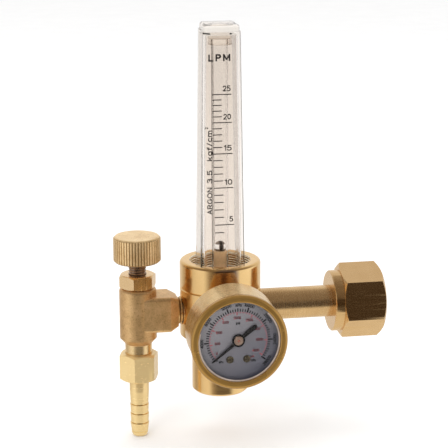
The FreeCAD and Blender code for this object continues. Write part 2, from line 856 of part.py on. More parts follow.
def dial_screws():
    """Two pan-head screws that hold the dial, one solid each."""
    solids = []
    for x, y in DIAL_SCREWS:
        centre = Vector(size(x), size(y), size("dial_front"))
        head = Part.makeCylinder(1.65, 0.42, centre)
        edges = [e for e in head.Edges if e.BoundBox.ZMin > centre.z + 0.4]
        head = head.makeFillet(0.25, edges)
        slot = Part.makeBox(3.6, 0.4, 0.3, centre + Vector(-1.8, -0.2, 0.2))
        cross = Part.makeBox(0.4, 3.6, 0.3, centre + Vector(-0.2, -1.8, 0.2))
        shank_end = size("front_plate")
        shank = Part.makeCylinder(0.9, centre.z - shank_end, Vector(centre.x, centre.y, shank_end))
        solids.append(head.cut(slot).cut(cross).fuse(shank))
    return group("dial_screws", solids)


def group(label, solids):
    """Identical fasteners in one sub-part on the gauge axis."""
    feature = doc.addObject("Part::Feature", label)
    feature.Label = label
    feature.Shape = Part.makeCompound(solids)
    place(feature, x="-reach", z="port_z", turn=TO_READER)
    SUB_PARTS.append(feature)
    return feature


def gauge_pointer():
    """Pointer at the zero mark: long tapered arm, broad round tail and a hub."""
    body = on_gauge_axis("gauge_pointer")
    low = "dial_front + 0.5"
    cosine = math.cos(math.radians(220))
    sine = math.sin(math.radians(220))

    def turned_to_zero(points):
        """Expressions of (along, across) points once the pointer's own axis lies at the zero mark."""
        return [("%.4f" % (along * cosine - across * sine), "%.4f" % (along * sine + across * cosine))
                for along, across in points]

    blade = turned_to_zero([(14.9, 0.12), (2, 0.62), (-4.6, 0.75), (-4.6, -0.75), (2, -0.62), (14.9, -0.12)])
    pad(body, "blade", outline(body, "blade_outline", blade, "XY_Plane", low), "0.25")
    root, end = turned_to_zero([(-4.6, 0), (-7.6, 0)])
    pad(body, "tail_root", circles(body, "root_outline", [root + ("0.98",)], "XY_Plane", low), "0.25")
    pad(body, "tail_end", circles(body, "end_outline", [end + ("0.98",)], "XY_Plane", low), "0.25")
    strip = turned_to_zero([(-4.6, -0.98), (-7.6, -0.98), (-7.6, 0.98), (-4.6, 0.98)])
    pad(body, "tail", outline(body, "tail_outline", strip, "XY_Plane", low), "0.25")
    pad(body, "hub", circles(body, "hub_outline", [("0", "0", "2.85")], "XY_Plane", low), "0.25")
    drill(body, "shaft_hole", "shaft_rad", "3", "+z", ("0", "0", low + " - 1"))
    return body


def pointer_cap():
    body = on_gauge_axis("pointer_cap")
    revolve(body, "cap", [
        ("0", "dial_front + 0.75"),
        ("2.05", "dial_front + 0.75"),
        ("2.05", "dial_front + 1.1"),
        ("1.85", "dial_front + 1.25"),
        ("0", "dial_front + 1.25"),
    ])
    return body


def involute_gear_wire(teeth, first, last, thinning):
    """Toothed edge of teeth first..last of an involute gear, as points in order of rising angle.

    The tooth with index 0 is centred on angle 0. Teeth are thinned for backlash.
    """
    module = size("gear_module")
    pressure = math.radians(20)
    pitch_radius = module * teeth / 2
    base_radius = pitch_radius * math.cos(pressure)
    tip_radius = pitch_radius + 0.8 * module
    root_radius = pitch_radius - 1.15 * module
    involute = math.tan(pressure) - pressure
    half_pitch_angle = math.pi / (2 * teeth) * thinning

    def flank_angle(radius):
        """Half tooth angle at a radius on the involute."""
        if radius <= base_radius:
            return half_pitch_angle + involute
        roll = math.sqrt((radius / base_radius) ** 2 - 1)
        return half_pitch_angle + involute - (roll - math.atan(roll))

    steps = 5
    start_radius = max(root_radius, base_radius)
    radii = [root_radius] + [start_radius + (tip_radius - start_radius) * i / steps for i in range(steps + 1)]
    if start_radius == root_radius:
        radii = radii[1:]
    points = []
    for tooth in range(first, last + 1):
        centre = 2 * math.pi * tooth / teeth
        for radius in radii:
            points.append((radius, centre - flank_angle(radius)))
        for radius in reversed(radii):
            points.append((radius, centre + flank_angle(radius)))
    return points


def gear_face(polar_points, centre, turn, closing):
    """Flat face in the local xy plane from polar points about a centre, closed through extra points."""
    points = [centre + Vector(r * math.cos(a + turn), r * math.sin(a + turn), 0) for r, a in polar_points]
    points += closing
    points.append(points[0])
    return Part.Face(Part.makePolygon(points))


def pinion_shaft():
    """Shaft that carries the pointer, with the pinion cut on it and the hairspring collet."""
    teeth = int(size("pinion_teeth"))
    low = size("sector_plane") - 0.3
    face = gear_face(involute_gear_wire(teeth, 0, teeth - 1, 0.86), Vector(0, 0, low),
                     math.radians(size("pivot_angle")), [])
    gear = face.extrude(Vector(0, 0, 1.2))
    radius = size("shaft_rad")
    bottom = size("socket_front") + 0.2
    shaft = Part.makeCylinder(radius, size("dial_front") + 0.75 - bottom, Vector(0, 0, bottom))
    collet = Part.makeCylinder(0.9, 0.4, Vector(0, 0, size("front_plate") - 1.0))
    feature = group("pinion_shaft", [])
    feature.Shape = gear.fuse([shaft, collet]).removeSplitter()
    place(feature, x="-reach", z="port_z", turn=TO_READER)
    return feature


def sector_gear():
    """Toothed sector with its arbor and the tail pin for the link."""
    teeth = int(size("sector_teeth"))
    ratio = size("pinion_teeth / sector_teeth")
    swing = 258 * ratio
    pitch = 360 / teeth
    back = int(math.ceil(swing / pitch)) + 2
    low = size("sector_plane")
    centre = Vector(size(PIVOT[0]), size(PIVOT[1]), low)
    mesh = size("pivot_angle") + 180
    half_tooth = pitch / 2
    turn = math.radians(mesh + half_tooth)
    edge = involute_gear_wire(teeth, -back, 2, 0.86)
    rim = size("gear_module * sector_teeth / 2") - 2.2

    def at(radius, degrees):
        angle = math.radians(degrees)
        return centre + Vector(radius * math.cos(angle), radius * math.sin(angle), 0)

    first = mesh + half_tooth - back * pitch - half_tooth
    last = mesh + half_tooth + 2 * pitch + half_tooth
    middle = (first + last) / 2
    inner = [at(rim, last - (last - middle - 6) * i / 3) for i in range(4)]
    inner += [at(1.6, middle + 40), at(1.6, middle - 40)]
    inner += [at(rim, middle - 6 - (middle - 6 - first) * i / 3) for i in range(4)]
    face = gear_face(edge, centre, turn, inner)
    thick = Vector(0, 0, size("sector_thick"))
    solid = face.extrude(thick)
    hub = Part.makeCylinder(1.9, thick.z, centre)
    tail_angle = size("tail_angle")
    tail_pin = at(size("tail_arm"), tail_angle)
    side = Vector(-math.sin(math.radians(tail_angle)), math.cos(math.radians(tail_angle)), 0) * 0.8
    tail_corners = [centre + side, tail_pin + side, tail_pin - side, centre - side, centre + side]
    tail = Part.Face(Part.makePolygon(tail_corners)).extrude(thick)
    tail_end = Part.makeCylinder(0.8, thick.z, tail_pin)
    pin = Part.makeCylinder(0.4, 1.2, tail_pin)
    arbor_low = size("socket_front") + 0.15
    arbor = Part.makeCylinder(0.6, size("front_plate + plate_thick") - arbor_low,
                              Vector(centre.x, centre.y, arbor_low))
    feature = group("sector_gear", [])
    feature.Shape = solid.fuse([hub, tail, tail_end, pin, arbor]).removeSplitter()
    place(feature, x="-reach", z="port_z", turn=TO_READER)
    return feature


def gauge_link():
    """Bar from the sector's tail pin to the Bourdon tube's tip."""
    low = size("sector_plane + sector_thick") + 0.1
    arm = math.radians(size("tail_angle"))
    pivot = Vector(size(PIVOT[0]), size(PIVOT[1]), low)
    near = pivot + Vector(math.cos(arm), math.sin(arm), 0) * size("tail_arm")
    tip = math.radians(size("tip_angle") - 2)
    far = Vector(math.cos(tip) * size("tip_pin_rad"), math.sin(tip) * size("tip_pin_rad"), low)
    along = (far - near).normalize()
    side = Vector(-along.y, along.x, 0) * 0.7
    bar = Part.Face(Part.makePolygon([near + side, far + side, far - side, near - side, near + side]))
    solid = bar.extrude(Vector(0, 0, 0.4))
    ends = [Part.makeCylinder(1.0, 0.4, near), Part.makeCylinder(0.9, 0.4, far)]
    solid = solid.fuse(ends).removeSplitter()
    solid = solid.cut(Part.makeCylinder(0.45, 1, near - Vector(0, 0, 0.3)))
    feature = group("gauge_link", [])
    feature.Shape = solid
    place(feature, x="-reach", z="port_z", turn=TO_READER)
    return feature


def bourdon_tube():
    """Flattened tube bent through most of a circle, from the socket's boss to its tip."""
    body = on_gauge_axis("bourdon_tube")
    start = 267.2
    sweep = start - size("tip_angle")
    body.Placement = FreeCAD.Placement(
        Vector(), TO_READER.multiply(FreeCAD.Rotation(Vector(0, 0, 1), size("tip_angle"))))
    place(body, x="-reach", z="port_z")
    inner = "bourdon_rad - bourdon_thick / 2"
    outer = "bourdon_rad + bourdon_thick / 2"
    top = "bourdon_low + bourdon_width"
    wall = "0.4"
    revolve(body, "shell", [
        (inner, "bourdon_low + 0.8"), (inner + " + 0.8", "bourdon_low"), (outer + " - 0.8", "bourdon_low"),
        (outer, "bourdon_low + 0.8"), (outer, top + " - 0.8"), (outer + " - 0.8", top),
        (inner + " + 0.8", top), (inner, top + " - 0.8"),
    ], sweep)
    groove(body, "hollow", [
        (inner + " + " + wall, "bourdon_low + 1"), (outer + " - " + wall, "bourdon_low + 1"),
        (outer + " - " + wall, top + " - 1"), (inner + " + " + wall, top + " - 1"),
    ], sweep)
    return body


def bourdon_tip():
    """Soldered end piece with an ear for the link."""
    body = on_gauge_axis("bourdon_tip")
    body.Placement = FreeCAD.Placement(
        Vector(), TO_READER.multiply(FreeCAD.Rotation(Vector(0, 0, 1), size("tip_angle"))))
    place(body, x="-reach", z="port_z")
    inner = "bourdon_rad - bourdon_thick / 2"
    outer = "bourdon_rad + bourdon_thick / 2"
    cap = [(inner, "-1.6"), (outer, "-1.6"), (outer, "-0.02"), (inner, "-0.02")]
    profile = outline(body, "cap_outline", cap, "XY_Plane", "bourdon_low + 0.3")
    pad(body, "cap", profile, "bourdon_width - 0.6")
    ear = [(inner + " + 0.5", "-1.6"), ("tip_pin_rad", "-1.5"), ("tip_pin_rad - 0.8", "-0.5"),
           ("tip_pin_rad", "0.3"), (inner + " + 0.5", "-0.1")]
    pad(body, "ear", outline(body, "ear_outline", ear, "XY_Plane", "sector_plane - 0.6"), "0.9")
    return body


def movement_plate(label, low, holes):
    """Brass plate of the gauge movement."""
    body = on_gauge_axis(label)
    corners = [("-3.4", "7"), ("2.2", "7"), ("9.2", "-6"), ("7.8", "-11"), ("3.6", "-13"), ("-6.2", "-12.4"),
               ("-6.2", "-9"), ("-3.2", "-3")]
    pad(body, "sheet", outline(body, "sheet_outline", corners, "XY_Plane", low), "plate_thick")
    profile = circles(body, "hole_outlines", holes, "XY_Plane", low + " - 1")
    pocket_up(body, "holes", profile, "plate_thick + 2")
    return body


def movement_pillars():
    low = size("socket_front + plate_thick")
    height = size("front_plate") - low
    return group("movement_pillars", [
        Part.makeCylinder(1.0, height, Vector(size(x), size(y), low)) for x, y in PILLARS])


def movement_screws():
    solids = []
    for x, y in PILLARS:
        top = Vector(size(x), size(y), size("front_plate + plate_thick"))
        head = Part.makeCylinder(0.95, 0.45, top)
        slot = Part.makeBox(2.4, 0.3, 0.3, top + Vector(-1.2, -0.15, 0.25))
        shank = Part.makeCylinder(0.5, size("plate_thick"), top - Vector(0, 0, size("plate_thick")))
        solids.append(head.cut(slot).fuse(shank))
    return group("movement_screws", solids)


def hairspring():
    """Flat spiral from beside the collet to an outer end."""
    low = size("front_plate") - 1.0
    inner, outer, turns, samples = 1.15, 3.3, 4, 48
    points = []
    for i in range(samples + 1):
        share = i / samples
        radius = inner + (outer - inner) * share
        angle = 2 * math.pi * turns * share
        points.append((radius, angle))
    half = 0.06
    rim = []
    for sign, order in ((1, points), (-1, reversed(points))):
        curve = Part.BSplineCurve()
        curve.interpolate([Vector((r + sign * half) * math.cos(a), (r + sign * half) * math.sin(a), low)
                           for r, a in order])
        rim.append(curve.toShape())
    ends = [(edge.valueAt(edge.FirstParameter), edge.valueAt(edge.LastParameter)) for edge in rim]
    caps = [Part.makeLine(ends[0][1], ends[1][0]), Part.makeLine(ends[1][1], ends[0][0])]
    wire = Part.Wire([rim[0], caps[0], rim[1], caps[1]])
    return group("hairspring", [Part.Face(wire).extrude(Vector(0, 0, 0.4))])


# ---------------------------------------------------------------- needle valve

def valve_body():
    body = on_valve_axis("valve_body")
    revolve(body, "barrel", [
        ("0", "valve_end_z"),
        ("valve_neck - 0.5", "valve_end_z"),
        ("valve_neck", "valve_end_z + 0.5"),
        ("valve_neck", "valve_low_z - 2"),
        ("valve_rad - 0.6", "valve_low_z"),
        ("valve_rad", "valve_low_z + 0.6"),
        ("valve_rad", "valve_top_z"),
        ("0", "valve_top_z"),
    ])
    middle = "port_z + 0.25"
    low, high = middle + " - block_half", middle + " + block_half"
    right, left = "block_half + 0.05", "-block_half - 0.05"
    sides = [(right, low), (right, high), (left, high), (left, low)]
    pad(body, "block", outline(body, "block_outline", sides, "YZ_Plane"), "block_end")
    doc.recompute()
    long_edges = []
    for index, edge in enumerate(body.Tip.Shape.Edges, start=1):
        box = edge.BoundBox
        straight = box.YLength < 0.01 and box.ZLength < 0.01 and box.XLength > 3
        if straight and abs(box.XMax - size("block_end")) < 0.01:
            long_edges.append("Edge%d" % index)
    fillet(body, "block_round", long_edges, "1.5")
    end = rounded_square(body, "nose_root", "block_half", "1.5", "block_end - 0.01", "YZ_Plane", middle)
    tip = rounded_square(body, "nose_tip", "block_half - 1.7", "2.2", "block_nose", "YZ_Plane", middle)
    nose = body.newObject("PartDesign::AdditiveLoft", "nose")
    nose.Profile = end
    nose.Sections = [tip]
    nose.Ruled = True
    rod(body, "nipple", "nipple_rad", "nipple_end - block_nose + 1", ("block_nose - 1", "0", "port_z"), "+x")
    nipple_thread(body)
    round_rings(body, "shoulder", [("valve_rad", "valve_top_z")], "1.4")
    groove(body, "bores", [
        ("0", "valve_end_z - 1"),
        ("2.2", "valve_end_z - 1"),
        ("2.2", "orifice_z - 5"),
        ("orifice_rad", "orifice_z - 4"),
        ("orifice_rad", "orifice_z"),
        ("chamber_rad", "orifice_z"),
        ("chamber_rad", "gland_low_z - 0.8"),
        ("6.05", "gland_low_z - 0.8"),
        ("6.05", "valve_top_z + 1"),
        ("0", "valve_top_z + 1"),
    ])
    drill(body, "side_passage", "2", "nipple_end + 1", "+x", ("0", "0", "port_z"))
    thread(body, "neck_thread", "valve_neck", "valve_end_z + 0.8", 6, 1.1, 0.4)
    return body


def nipple_thread(body):
    """V grooves about the nipple's own axis, along local x at the port height."""
    pitch, depth = 1.3, 0.55
    edge = "port_z + nipple_rad"
    start = "block_nose + 0.25"
    points = [
        (start, edge + " + 0.02"),
        ("%s + %.3f" % (start, 0.4 * pitch), "%s - %s" % (edge, depth)),
        ("%s + %.3f" % (start, 0.5 * pitch), "%s - %s" % (edge, depth)),
        ("%s + %.3f" % (start, 0.9 * pitch), edge + " + 0.02"),
    ]
    profile = outline(body, "nipple_groove_profile", points)
    axis = Part.LineSegment(Vector(0, size("port_z"), 0), Vector(1, size("port_z"), 0))
    line = profile.addGeometry(axis, True)
    pin_point(profile, line, 1, "0", "port_z")
    pin_point(profile, line, 2, "1", "port_z")
    cut = body.newObject("PartDesign::Groove", "nipple_groove")
    cut.Profile = profile
    cut.ReferenceAxis = (profile, ["Axis0"])
    cut.Angle = 360
    pattern = body.newObject("PartDesign::LinearPattern", "nipple_thread")
    pattern.Originals = [cut]
    pattern.Direction = (profile, ["H_Axis"])
    pattern.Length = pitch * 6
    pattern.Occurrences = 7
    body.Tip = pattern
    return pattern


def gland_nut():
    body = on_valve_axis("gland_nut")
    revolve(body, "shank", [
        ("0", "gland_low_z"),
        ("6", "gland_low_z"),
        ("6", "valve_top_z"),
        ("6.9", "valve_top_z"),
        ("6.9", "valve_top_z + 1"),
        ("0", "valve_top_z + 1"),
    ])
    hex_pad(body, "hexagon", "gland_flats", "valve_top_z + 0.4", "gland_top_z - valve_top_z - 0.4",
            size("hex_turn"))
    hex_chamfer(body, "top_chamfer", "gland_flats", "gland_top_z", -1)
    hex_chamfer(body, "low_chamfer", "gland_flats", "valve_top_z + 0.4", 1, 1.0)
    drill(body, "stem_hole", "stem_thread + fit_gap", "30", "+z", ("0", "0", "gland_low_z - 1"))
    return body


def valve_stem():
    """Needle, O-ring groove, threaded shank and the spindle inside the knob."""
    body = on_valve_axis("valve_stem")
    groove_mid = "3"
    revolve(body, "turned", [
        ("0", "orifice_z - 2.3"),
        ("0.3", "orifice_z - 2.3"),
        ("2.05", "orifice_z + 1.5"),
        ("stem_shank", "orifice_z + 1.5"),
        ("stem_shank", groove_mid + " - 0.75"),
        ("2.15", groove_mid + " - 0.75"),
        ("2.15", groove_mid + " + 0.75"),
        ("stem_shank", groove_mid + " + 0.75"),
        ("stem_shank", "gland_low_z + 0.6"),
        ("stem_thread", "gland_low_z + 1.2"),
        ("stem_thread", "knob_low_z"),
        ("3.2", "knob_low_z"),
        ("3.2", "knob_top_z - 4"),
        ("0", "knob_top_z - 4"),
    ])
    thread(body, "stem_thread_grooves", "stem_thread", "gland_top_z - 4.6", 8, 1.25, 0.5)
    return body


def valve_knob():
    body = on_valve_axis("valve_knob")
    revolve(body, "blank", [
        ("0", "knob_low_z"),
        ("knob_rad - 0.8", "knob_low_z"),
        ("knob_rad", "knob_low_z + 0.8"),
        ("knob_rad", "knob_top_z - 0.9"),
        ("knob_rad - 0.9", "knob_top_z"),
        ("0", "knob_top_z"),
    ])
    flute = [("knob_rad - 0.5", "0.06"), ("knob_rad + 0.1", "0.36"), ("knob_rad + 0.1", "-0.36"),
             ("knob_rad - 0.5", "-0.06")]
    profile = outline(body, "flute_profile", flute, "XY_Plane", "knob_low_z - 1")
    cut = pocket_up(body, "flute", profile, "knob_top_z - knob_low_z + 2")
    ring = body.newObject("PartDesign::PolarPattern", "flutes")
    ring.Originals = [cut]
    ring.Axis = (plane(body, "Z_Axis"), [""])
    ring.Angle = 360
    ring.Occurrences = int(size("knob_flutes"))
    body.Tip = ring
    drill(body, "spindle_hole", "3.2", "knob_top_z - 4 - knob_low_z + 1", "+z", ("0", "0", "knob_low_z - 1"))
    return body


def hose_nut():
    body = on_valve_axis("hose_nut")
    hex_pad(body, "hexagon", "hose_nut_flats", "hose_nut_low_z", "hose_nut_top_z - hose_nut_low_z",
            size("hex_turn"))
    hex_chamfer(body, "top_chamfer", "hose_nut_flats", "hose_nut_top_z", -1)
    hex_chamfer(body, "low_chamfer", "hose_nut_flats", "hose_nut_low_z", 1)
    groove(body, "bores", [
        ("0", "hose_nut_low_z - 1"),
        ("barb_shank + fit_gap", "hose_nut_low_z - 1"),
        ("barb_shank + fit_gap", "valve_end_z - 3.4"),
        ("valve_neck + fit_gap", "valve_end_z - 3.4"),
        ("valve_neck + fit_gap", "hose_nut_top_z + 1"),
        ("0", "hose_nut_top_z + 1"),
    ])
    return body


def hose_barb():
    body = on_valve_axis("hose_barb")
    profile = [
        ("2.2", "valve_end_z"),
        ("valve_neck - fit_gap", "valve_end_z"),
        ("valve_neck - fit_gap", "valve_end_z - 3.35"),
        ("barb_shank", "valve_end_z - 3.35"),
        ("barb_shank", "hose_nut_low_z - 0.25"),
        ("barb_root", "hose_nut_low_z - 0.25"),
        ("barb_root", "barb_first_z + 6.5"),
        ("barb_waist", "barb_first_z + 0.5"),
    ]
    for k in range(3):
        step = "barb_first_z - %d * barb_pitch" % k
        profile += [("barb_waist - 0.35", step + " + 0.4"), ("barb_waist - 0.35", step), ("barb_crest", step)]
        if k < 2:
            profile.append(("barb_waist - 0.05", step + " - barb_pitch + 0.5"))
    profile += [
        ("barb_waist - 0.4", "barb_end_z + 0.9"),
        ("barb_waist - 0.8", "barb_end_z"),
        ("2.2", "barb_end_z"),
    ]
    revolve(body, "turned", profile)
    return body


def build():
    regulator_body()
    end_plug()
    o_ring("end_plug_o_ring", on_body_axis, "plug_rad - 0.85", "0.7", "plug_top_z - 0.8")
    seat_nozzle()
    regulating_piston()
    seat_disc()
    o_ring("piston_stem_o_ring", on_body_axis, "stem_bore - 0.75", "0.69", "spring_top_z + 1.45")
    o_ring("piston_head_o_ring", on_body_axis, "piston_bore - 0.98", "0.9", "spring_top_z - 10.5")
    coil_spring("regulating_spring", 6.7, 0.75, "spring_top_z - 8.5", "spring_top_z", 4.5)

    flow_tube_collar()
    flow_tube_shield()
    metering_tube()
    float_ball()
    lower_float_stop()
    upper_float_stop()
    o_ring("tube_o_ring", on_body_axis, "tube_rad + 0.75", "0.7", "spigot_top_z - 0.9")
    o_ring("collar_o_ring", on_body_axis, "12.6", "0.8", "spigot_top_z - 0.85")

    inlet_stem()
    inlet_nut()
    inlet_filter()
    tube_ring("filter_ring", on_inlet_axis, "2.6", "4.05", "nose_end - 1.6", "nose_end - 0.6")
    tube_ring("inlet_washer", on_inlet_axis, "3", "nose_rad - 0.2", "nose_end", "nose_end + 2")

    gauge_socket()
    tube_ring("gauge_washer", on_gauge_axis, "gauge_shank + 0.1", "7", "gauge_seat", "gauge_seat + 1.6")
    gauge_case()
    gauge_bezel()
    tube_ring("gauge_lens", on_gauge_axis, "0", "lens_rad", "lens_rear", "lens_front")
    tube_ring("lens_gasket", on_gauge_axis, "window_rad + 0.4", "lens_rad", "dial_front", "lens_rear")
    gauge_dial()
    dial_screws()
    gauge_pointer()
    pointer_cap()
    pinion_shaft()
    sector_gear()
    gauge_link()
    bourdon_tube()
    bourdon_tip()
    pivot_hole = (PIVOT[0], PIVOT[1], "0.65")
    shaft_hole = ("0", "0", "shaft_rad + fit_gap")
    pillar_holes = [(x, y, "0.5") for x, y in PILLARS]
    screw_holes = [(x, y, "0.9") for x, y in DIAL_SCREWS]
    movement_plate("movement_back_plate", "socket_front", [pivot_hole, shaft_hole])
    front_holes = [pivot_hole, shaft_hole] + pillar_holes + screw_holes
    movement_plate("movement_front_plate", "front_plate", front_holes)
    movement_pillars()
    movement_screws()
    hairspring()

    valve_body()
    gland_nut()
    tube_ring("gland_packing", on_valve_axis, "stem_shank + fit_gap", "6", "gland_low_z - 0.8", "gland_low_z")
    valve_stem()
    o_ring("stem_o_ring", on_valve_axis, "2.85", "0.65", "3")
    valve_knob()
    hose_nut()
    hose_barb()


def export():
    doc.recompute()
    for item in doc.Objects:
        if "Invalid" in item.State or "Error" in item.State:
            raise RuntimeError("failed: %s %s" % (item.Name, item.State))
    os.makedirs("parts", exist_ok=True)
    for part in SUB_PARTS:
        shape = part.Shape
        if shape.isNull() or not shape.isValid() or not shape.Solids:
            raise RuntimeError("bad shape: " + part.Label)
        shape.exportStep("parts/%s.step" % part.Label)
        print("%-24s solids %d volume %.1f" % (part.Label, len(shape.Solids), shape.Volume))


build()
export()
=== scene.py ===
"""Looks of a compact brass gas regulator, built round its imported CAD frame.

The frame is in metres, +Z up, -Y to the reader. Drawn sizes are in millimetres: MM turns them into metres.
"""
import bpy
import bmesh
import json
import math
from mathutils import Matrix, Vector


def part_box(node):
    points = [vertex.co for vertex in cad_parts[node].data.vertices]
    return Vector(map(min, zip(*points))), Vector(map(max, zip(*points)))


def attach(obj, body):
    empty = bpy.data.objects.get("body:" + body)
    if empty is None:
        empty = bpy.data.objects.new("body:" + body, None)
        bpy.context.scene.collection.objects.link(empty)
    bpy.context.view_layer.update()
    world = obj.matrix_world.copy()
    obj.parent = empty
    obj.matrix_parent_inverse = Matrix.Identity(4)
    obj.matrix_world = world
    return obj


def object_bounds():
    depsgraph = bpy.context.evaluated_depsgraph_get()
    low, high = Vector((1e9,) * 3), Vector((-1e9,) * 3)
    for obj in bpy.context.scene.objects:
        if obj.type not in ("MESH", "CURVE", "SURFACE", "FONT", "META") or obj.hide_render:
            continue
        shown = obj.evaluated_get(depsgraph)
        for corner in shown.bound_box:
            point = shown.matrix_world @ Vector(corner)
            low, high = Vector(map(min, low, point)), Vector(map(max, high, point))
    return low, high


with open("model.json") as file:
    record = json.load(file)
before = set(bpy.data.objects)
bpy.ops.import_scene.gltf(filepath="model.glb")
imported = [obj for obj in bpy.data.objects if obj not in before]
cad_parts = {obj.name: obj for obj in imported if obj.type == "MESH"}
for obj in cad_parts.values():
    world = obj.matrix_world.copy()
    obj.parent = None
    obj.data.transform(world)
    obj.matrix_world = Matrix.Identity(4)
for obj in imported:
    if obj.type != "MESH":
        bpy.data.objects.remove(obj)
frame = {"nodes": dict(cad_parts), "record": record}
CAD_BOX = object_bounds()
MM = 0.001


def centre(node):
    low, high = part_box(node)
    return (low + high) / 2


TUBE = centre("metering_tube")
VALVE = centre("valve_stem")
DIAL = centre("gauge_dial")
BODY_AXIS = (TUBE.x, 0, 0)
GAUGE_AXIS = (DIAL.x, 0, DIAL.z)
STEM_AXIS = (0, 0, 0)
DIAL_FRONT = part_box("gauge_dial")[0].y
LENS_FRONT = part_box("gauge_lens")[0].y
POINTER_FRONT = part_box("gauge_pointer")[0].y
CAP_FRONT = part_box("pointer_cap")[0].y
NUT_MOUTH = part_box("inlet_nut")[1].x
COLLAR_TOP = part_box("flow_tube_collar")[1].z
KNOB_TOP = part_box("valve_knob")[1].z
COVER_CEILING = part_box("upper_float_stop")[1].z + 2.2 * MM

# direction and place that the object is seen from
PAN = math.radians(9.735)
TILT = math.radians(14.485)
ROLL = math.radians(-0.15)
EYE = (-0.1915, -0.6912, 0.2200)


# ---------------------------------------------------------------- shader nodes

class Net:
    """A node tree, with short calls for the nodes used here."""

    def __init__(self, tree):
        self.tree = tree
        tree.nodes.clear()

    def new(self, kind):
        return self.tree.nodes.new(kind)

    def join(self, source, target):
        self.tree.links.new(source, target)

    def put(self, socket, value):
        """Give a socket a number, a colour or another node's output."""
        if isinstance(value, tuple):
            socket.default_value = (*value, 1)
        elif isinstance(value, (int, float)):
            socket.default_value = value
        else:
            self.join(value, socket)

    def split(self, vector):
        """The x, y and z of a vector."""
        node = self.new("ShaderNodeSeparateXYZ")
        self.join(vector, node.inputs[0])
        return node.outputs[0], node.outputs[1], node.outputs[2]

    def math(self, operation, a, b=0.0):
        node = self.new("ShaderNodeMath")
        node.operation = operation
        self.put(node.inputs[0], a)
        self.put(node.inputs[1], b)
        return node.outputs[0]

    def times(self, a, b):
        return self.math("MULTIPLY", a, b)

    def weigh(self, a, b, share):
        """A share of a, and b for the rest."""
        return self.math("ADD", self.times(a, share), self.times(b, 1 - share))

    def span(self, factor, low, high, start=0.0, end=1.0):
        """low up to the start, high from the end on, and even between."""
        node = self.new("ShaderNodeMapRange")
        self.put(node.inputs["Value"], factor)
        node.inputs["From Min"].default_value = start
        node.inputs["From Max"].default_value = end
        node.inputs["To Min"].default_value = low
        node.inputs["To Max"].default_value = high
        return node.outputs[0]

    def past(self, factor, start, end):
        """0 up to the start, 1 from the end on."""
        return self.span(factor, 0.0, 1.0, start, end)

    def before(self, factor, start, end):
        """1 up to the start, 0 from the end on."""
        return self.span(factor, 1.0, 0.0, start, end)

    def vary(self, noise, low, high):
        """A noise's usual swing, spread over a range."""
        return self.span(noise, low, high, 0.3, 0.7)

    def ramp(self, factor, stops):
        """Colours blended through stops of (position, colour)."""
        node = self.new("ShaderNodeValToRGB")
        self.join(factor, node.inputs[0])
        elements = node.color_ramp.elements
        while len(elements) < len(stops):
            elements.new(0.5)
        for element, (position, colour) in zip(elements, stops):
            element.position = position
            element.color = (*colour, 1)
        return node.outputs[0]

    def mix(self, factor, a, b, mode="MIX"):
        node = self.new("ShaderNodeMix")
        node.data_type = "RGBA"
        node.blend_type = mode
        self.put(node.inputs[0], factor)
        self.put(node.inputs[6], a)
        self.put(node.inputs[7], b)
        return node.outputs[2]


class Finish(Net):
    """One material: a Principled shader and the patterns that drive it."""

    def __init__(self, name):
        self.material = bpy.data.materials.new(name)
        self.material.use_nodes = True
        super().__init__(self.material.node_tree)
        output = self.new("ShaderNodeOutputMaterial")
        self.shader = self.new("ShaderNodeBsdfPrincipled")
        self.join(self.shader.outputs[0], output.inputs["Surface"])
        self.place = self.new("ShaderNodeTexCoord").outputs["Object"]

    def set(self, name, value):
        self.put(self.shader.inputs[name], value)

    def moved(self, offset=(0, 0, 0), scale=(1, 1, 1)):
        """The place, measured from an offset and scaled."""
        node = self.new("ShaderNodeMapping")
        self.join(self.place, node.inputs["Vector"])
        node.inputs["Location"].default_value = [-o * s for o, s in zip(offset, scale)]
        node.inputs["Scale"].default_value = scale
        return node.outputs[0]

    def along(self, axis):
        return self.split(self.place)["xyz".index(axis)]

    def radius(self, offset, axis):
        """Distance from an axis through offset, along x, y or z."""
        parts = self.split(self.moved(offset))
        others = [part for i, part in enumerate(parts) if i != "xyz".index(axis)]
        return self.math("SQRT", self.math("ADD", *(self.times(part, part) for part in others)))

    def noise(self, vector, scale, detail=2.0, rough=0.5):
        node = self.new("ShaderNodeTexNoise")
        self.join(vector, node.inputs["Vector"])
        node.inputs["Scale"].default_value = scale
        node.inputs["Detail"].default_value = detail
        node.inputs["Roughness"].default_value = rough
        return node.outputs["Fac"]

    def tool_rings(self, axis, distance):
        """Fine rings that a turning tool leaves round an axis."""
        ring = self.new("ShaderNodeCombineXYZ")
        self.join(self.along(axis), ring.inputs[0])
        self.join(distance, ring.inputs[1])
        return self.noise(ring.outputs[0], 5200, 1.0, 0.6)

    def tarnish(self, scale=90):
        """Slow clouds of darker and lighter metal."""
        return self.noise(self.place, scale, 4.0, 0.6)

    def facing(self):
        """0 where the surface faces the eye, 1 where it is seen edge on."""
        return self.new("ShaderNodeLayerWeight").outputs["Facing"]

    def bump(self, height, distance, strength):
        node = self.new("ShaderNodeBump")
        node.inputs["Strength"].default_value = strength
        node.inputs["Distance"].default_value = distance
        self.join(height, node.inputs["Height"])
        self.join(node.outputs[0], self.shader.inputs["Normal"])


# ---------------------------------------------------------------- metal

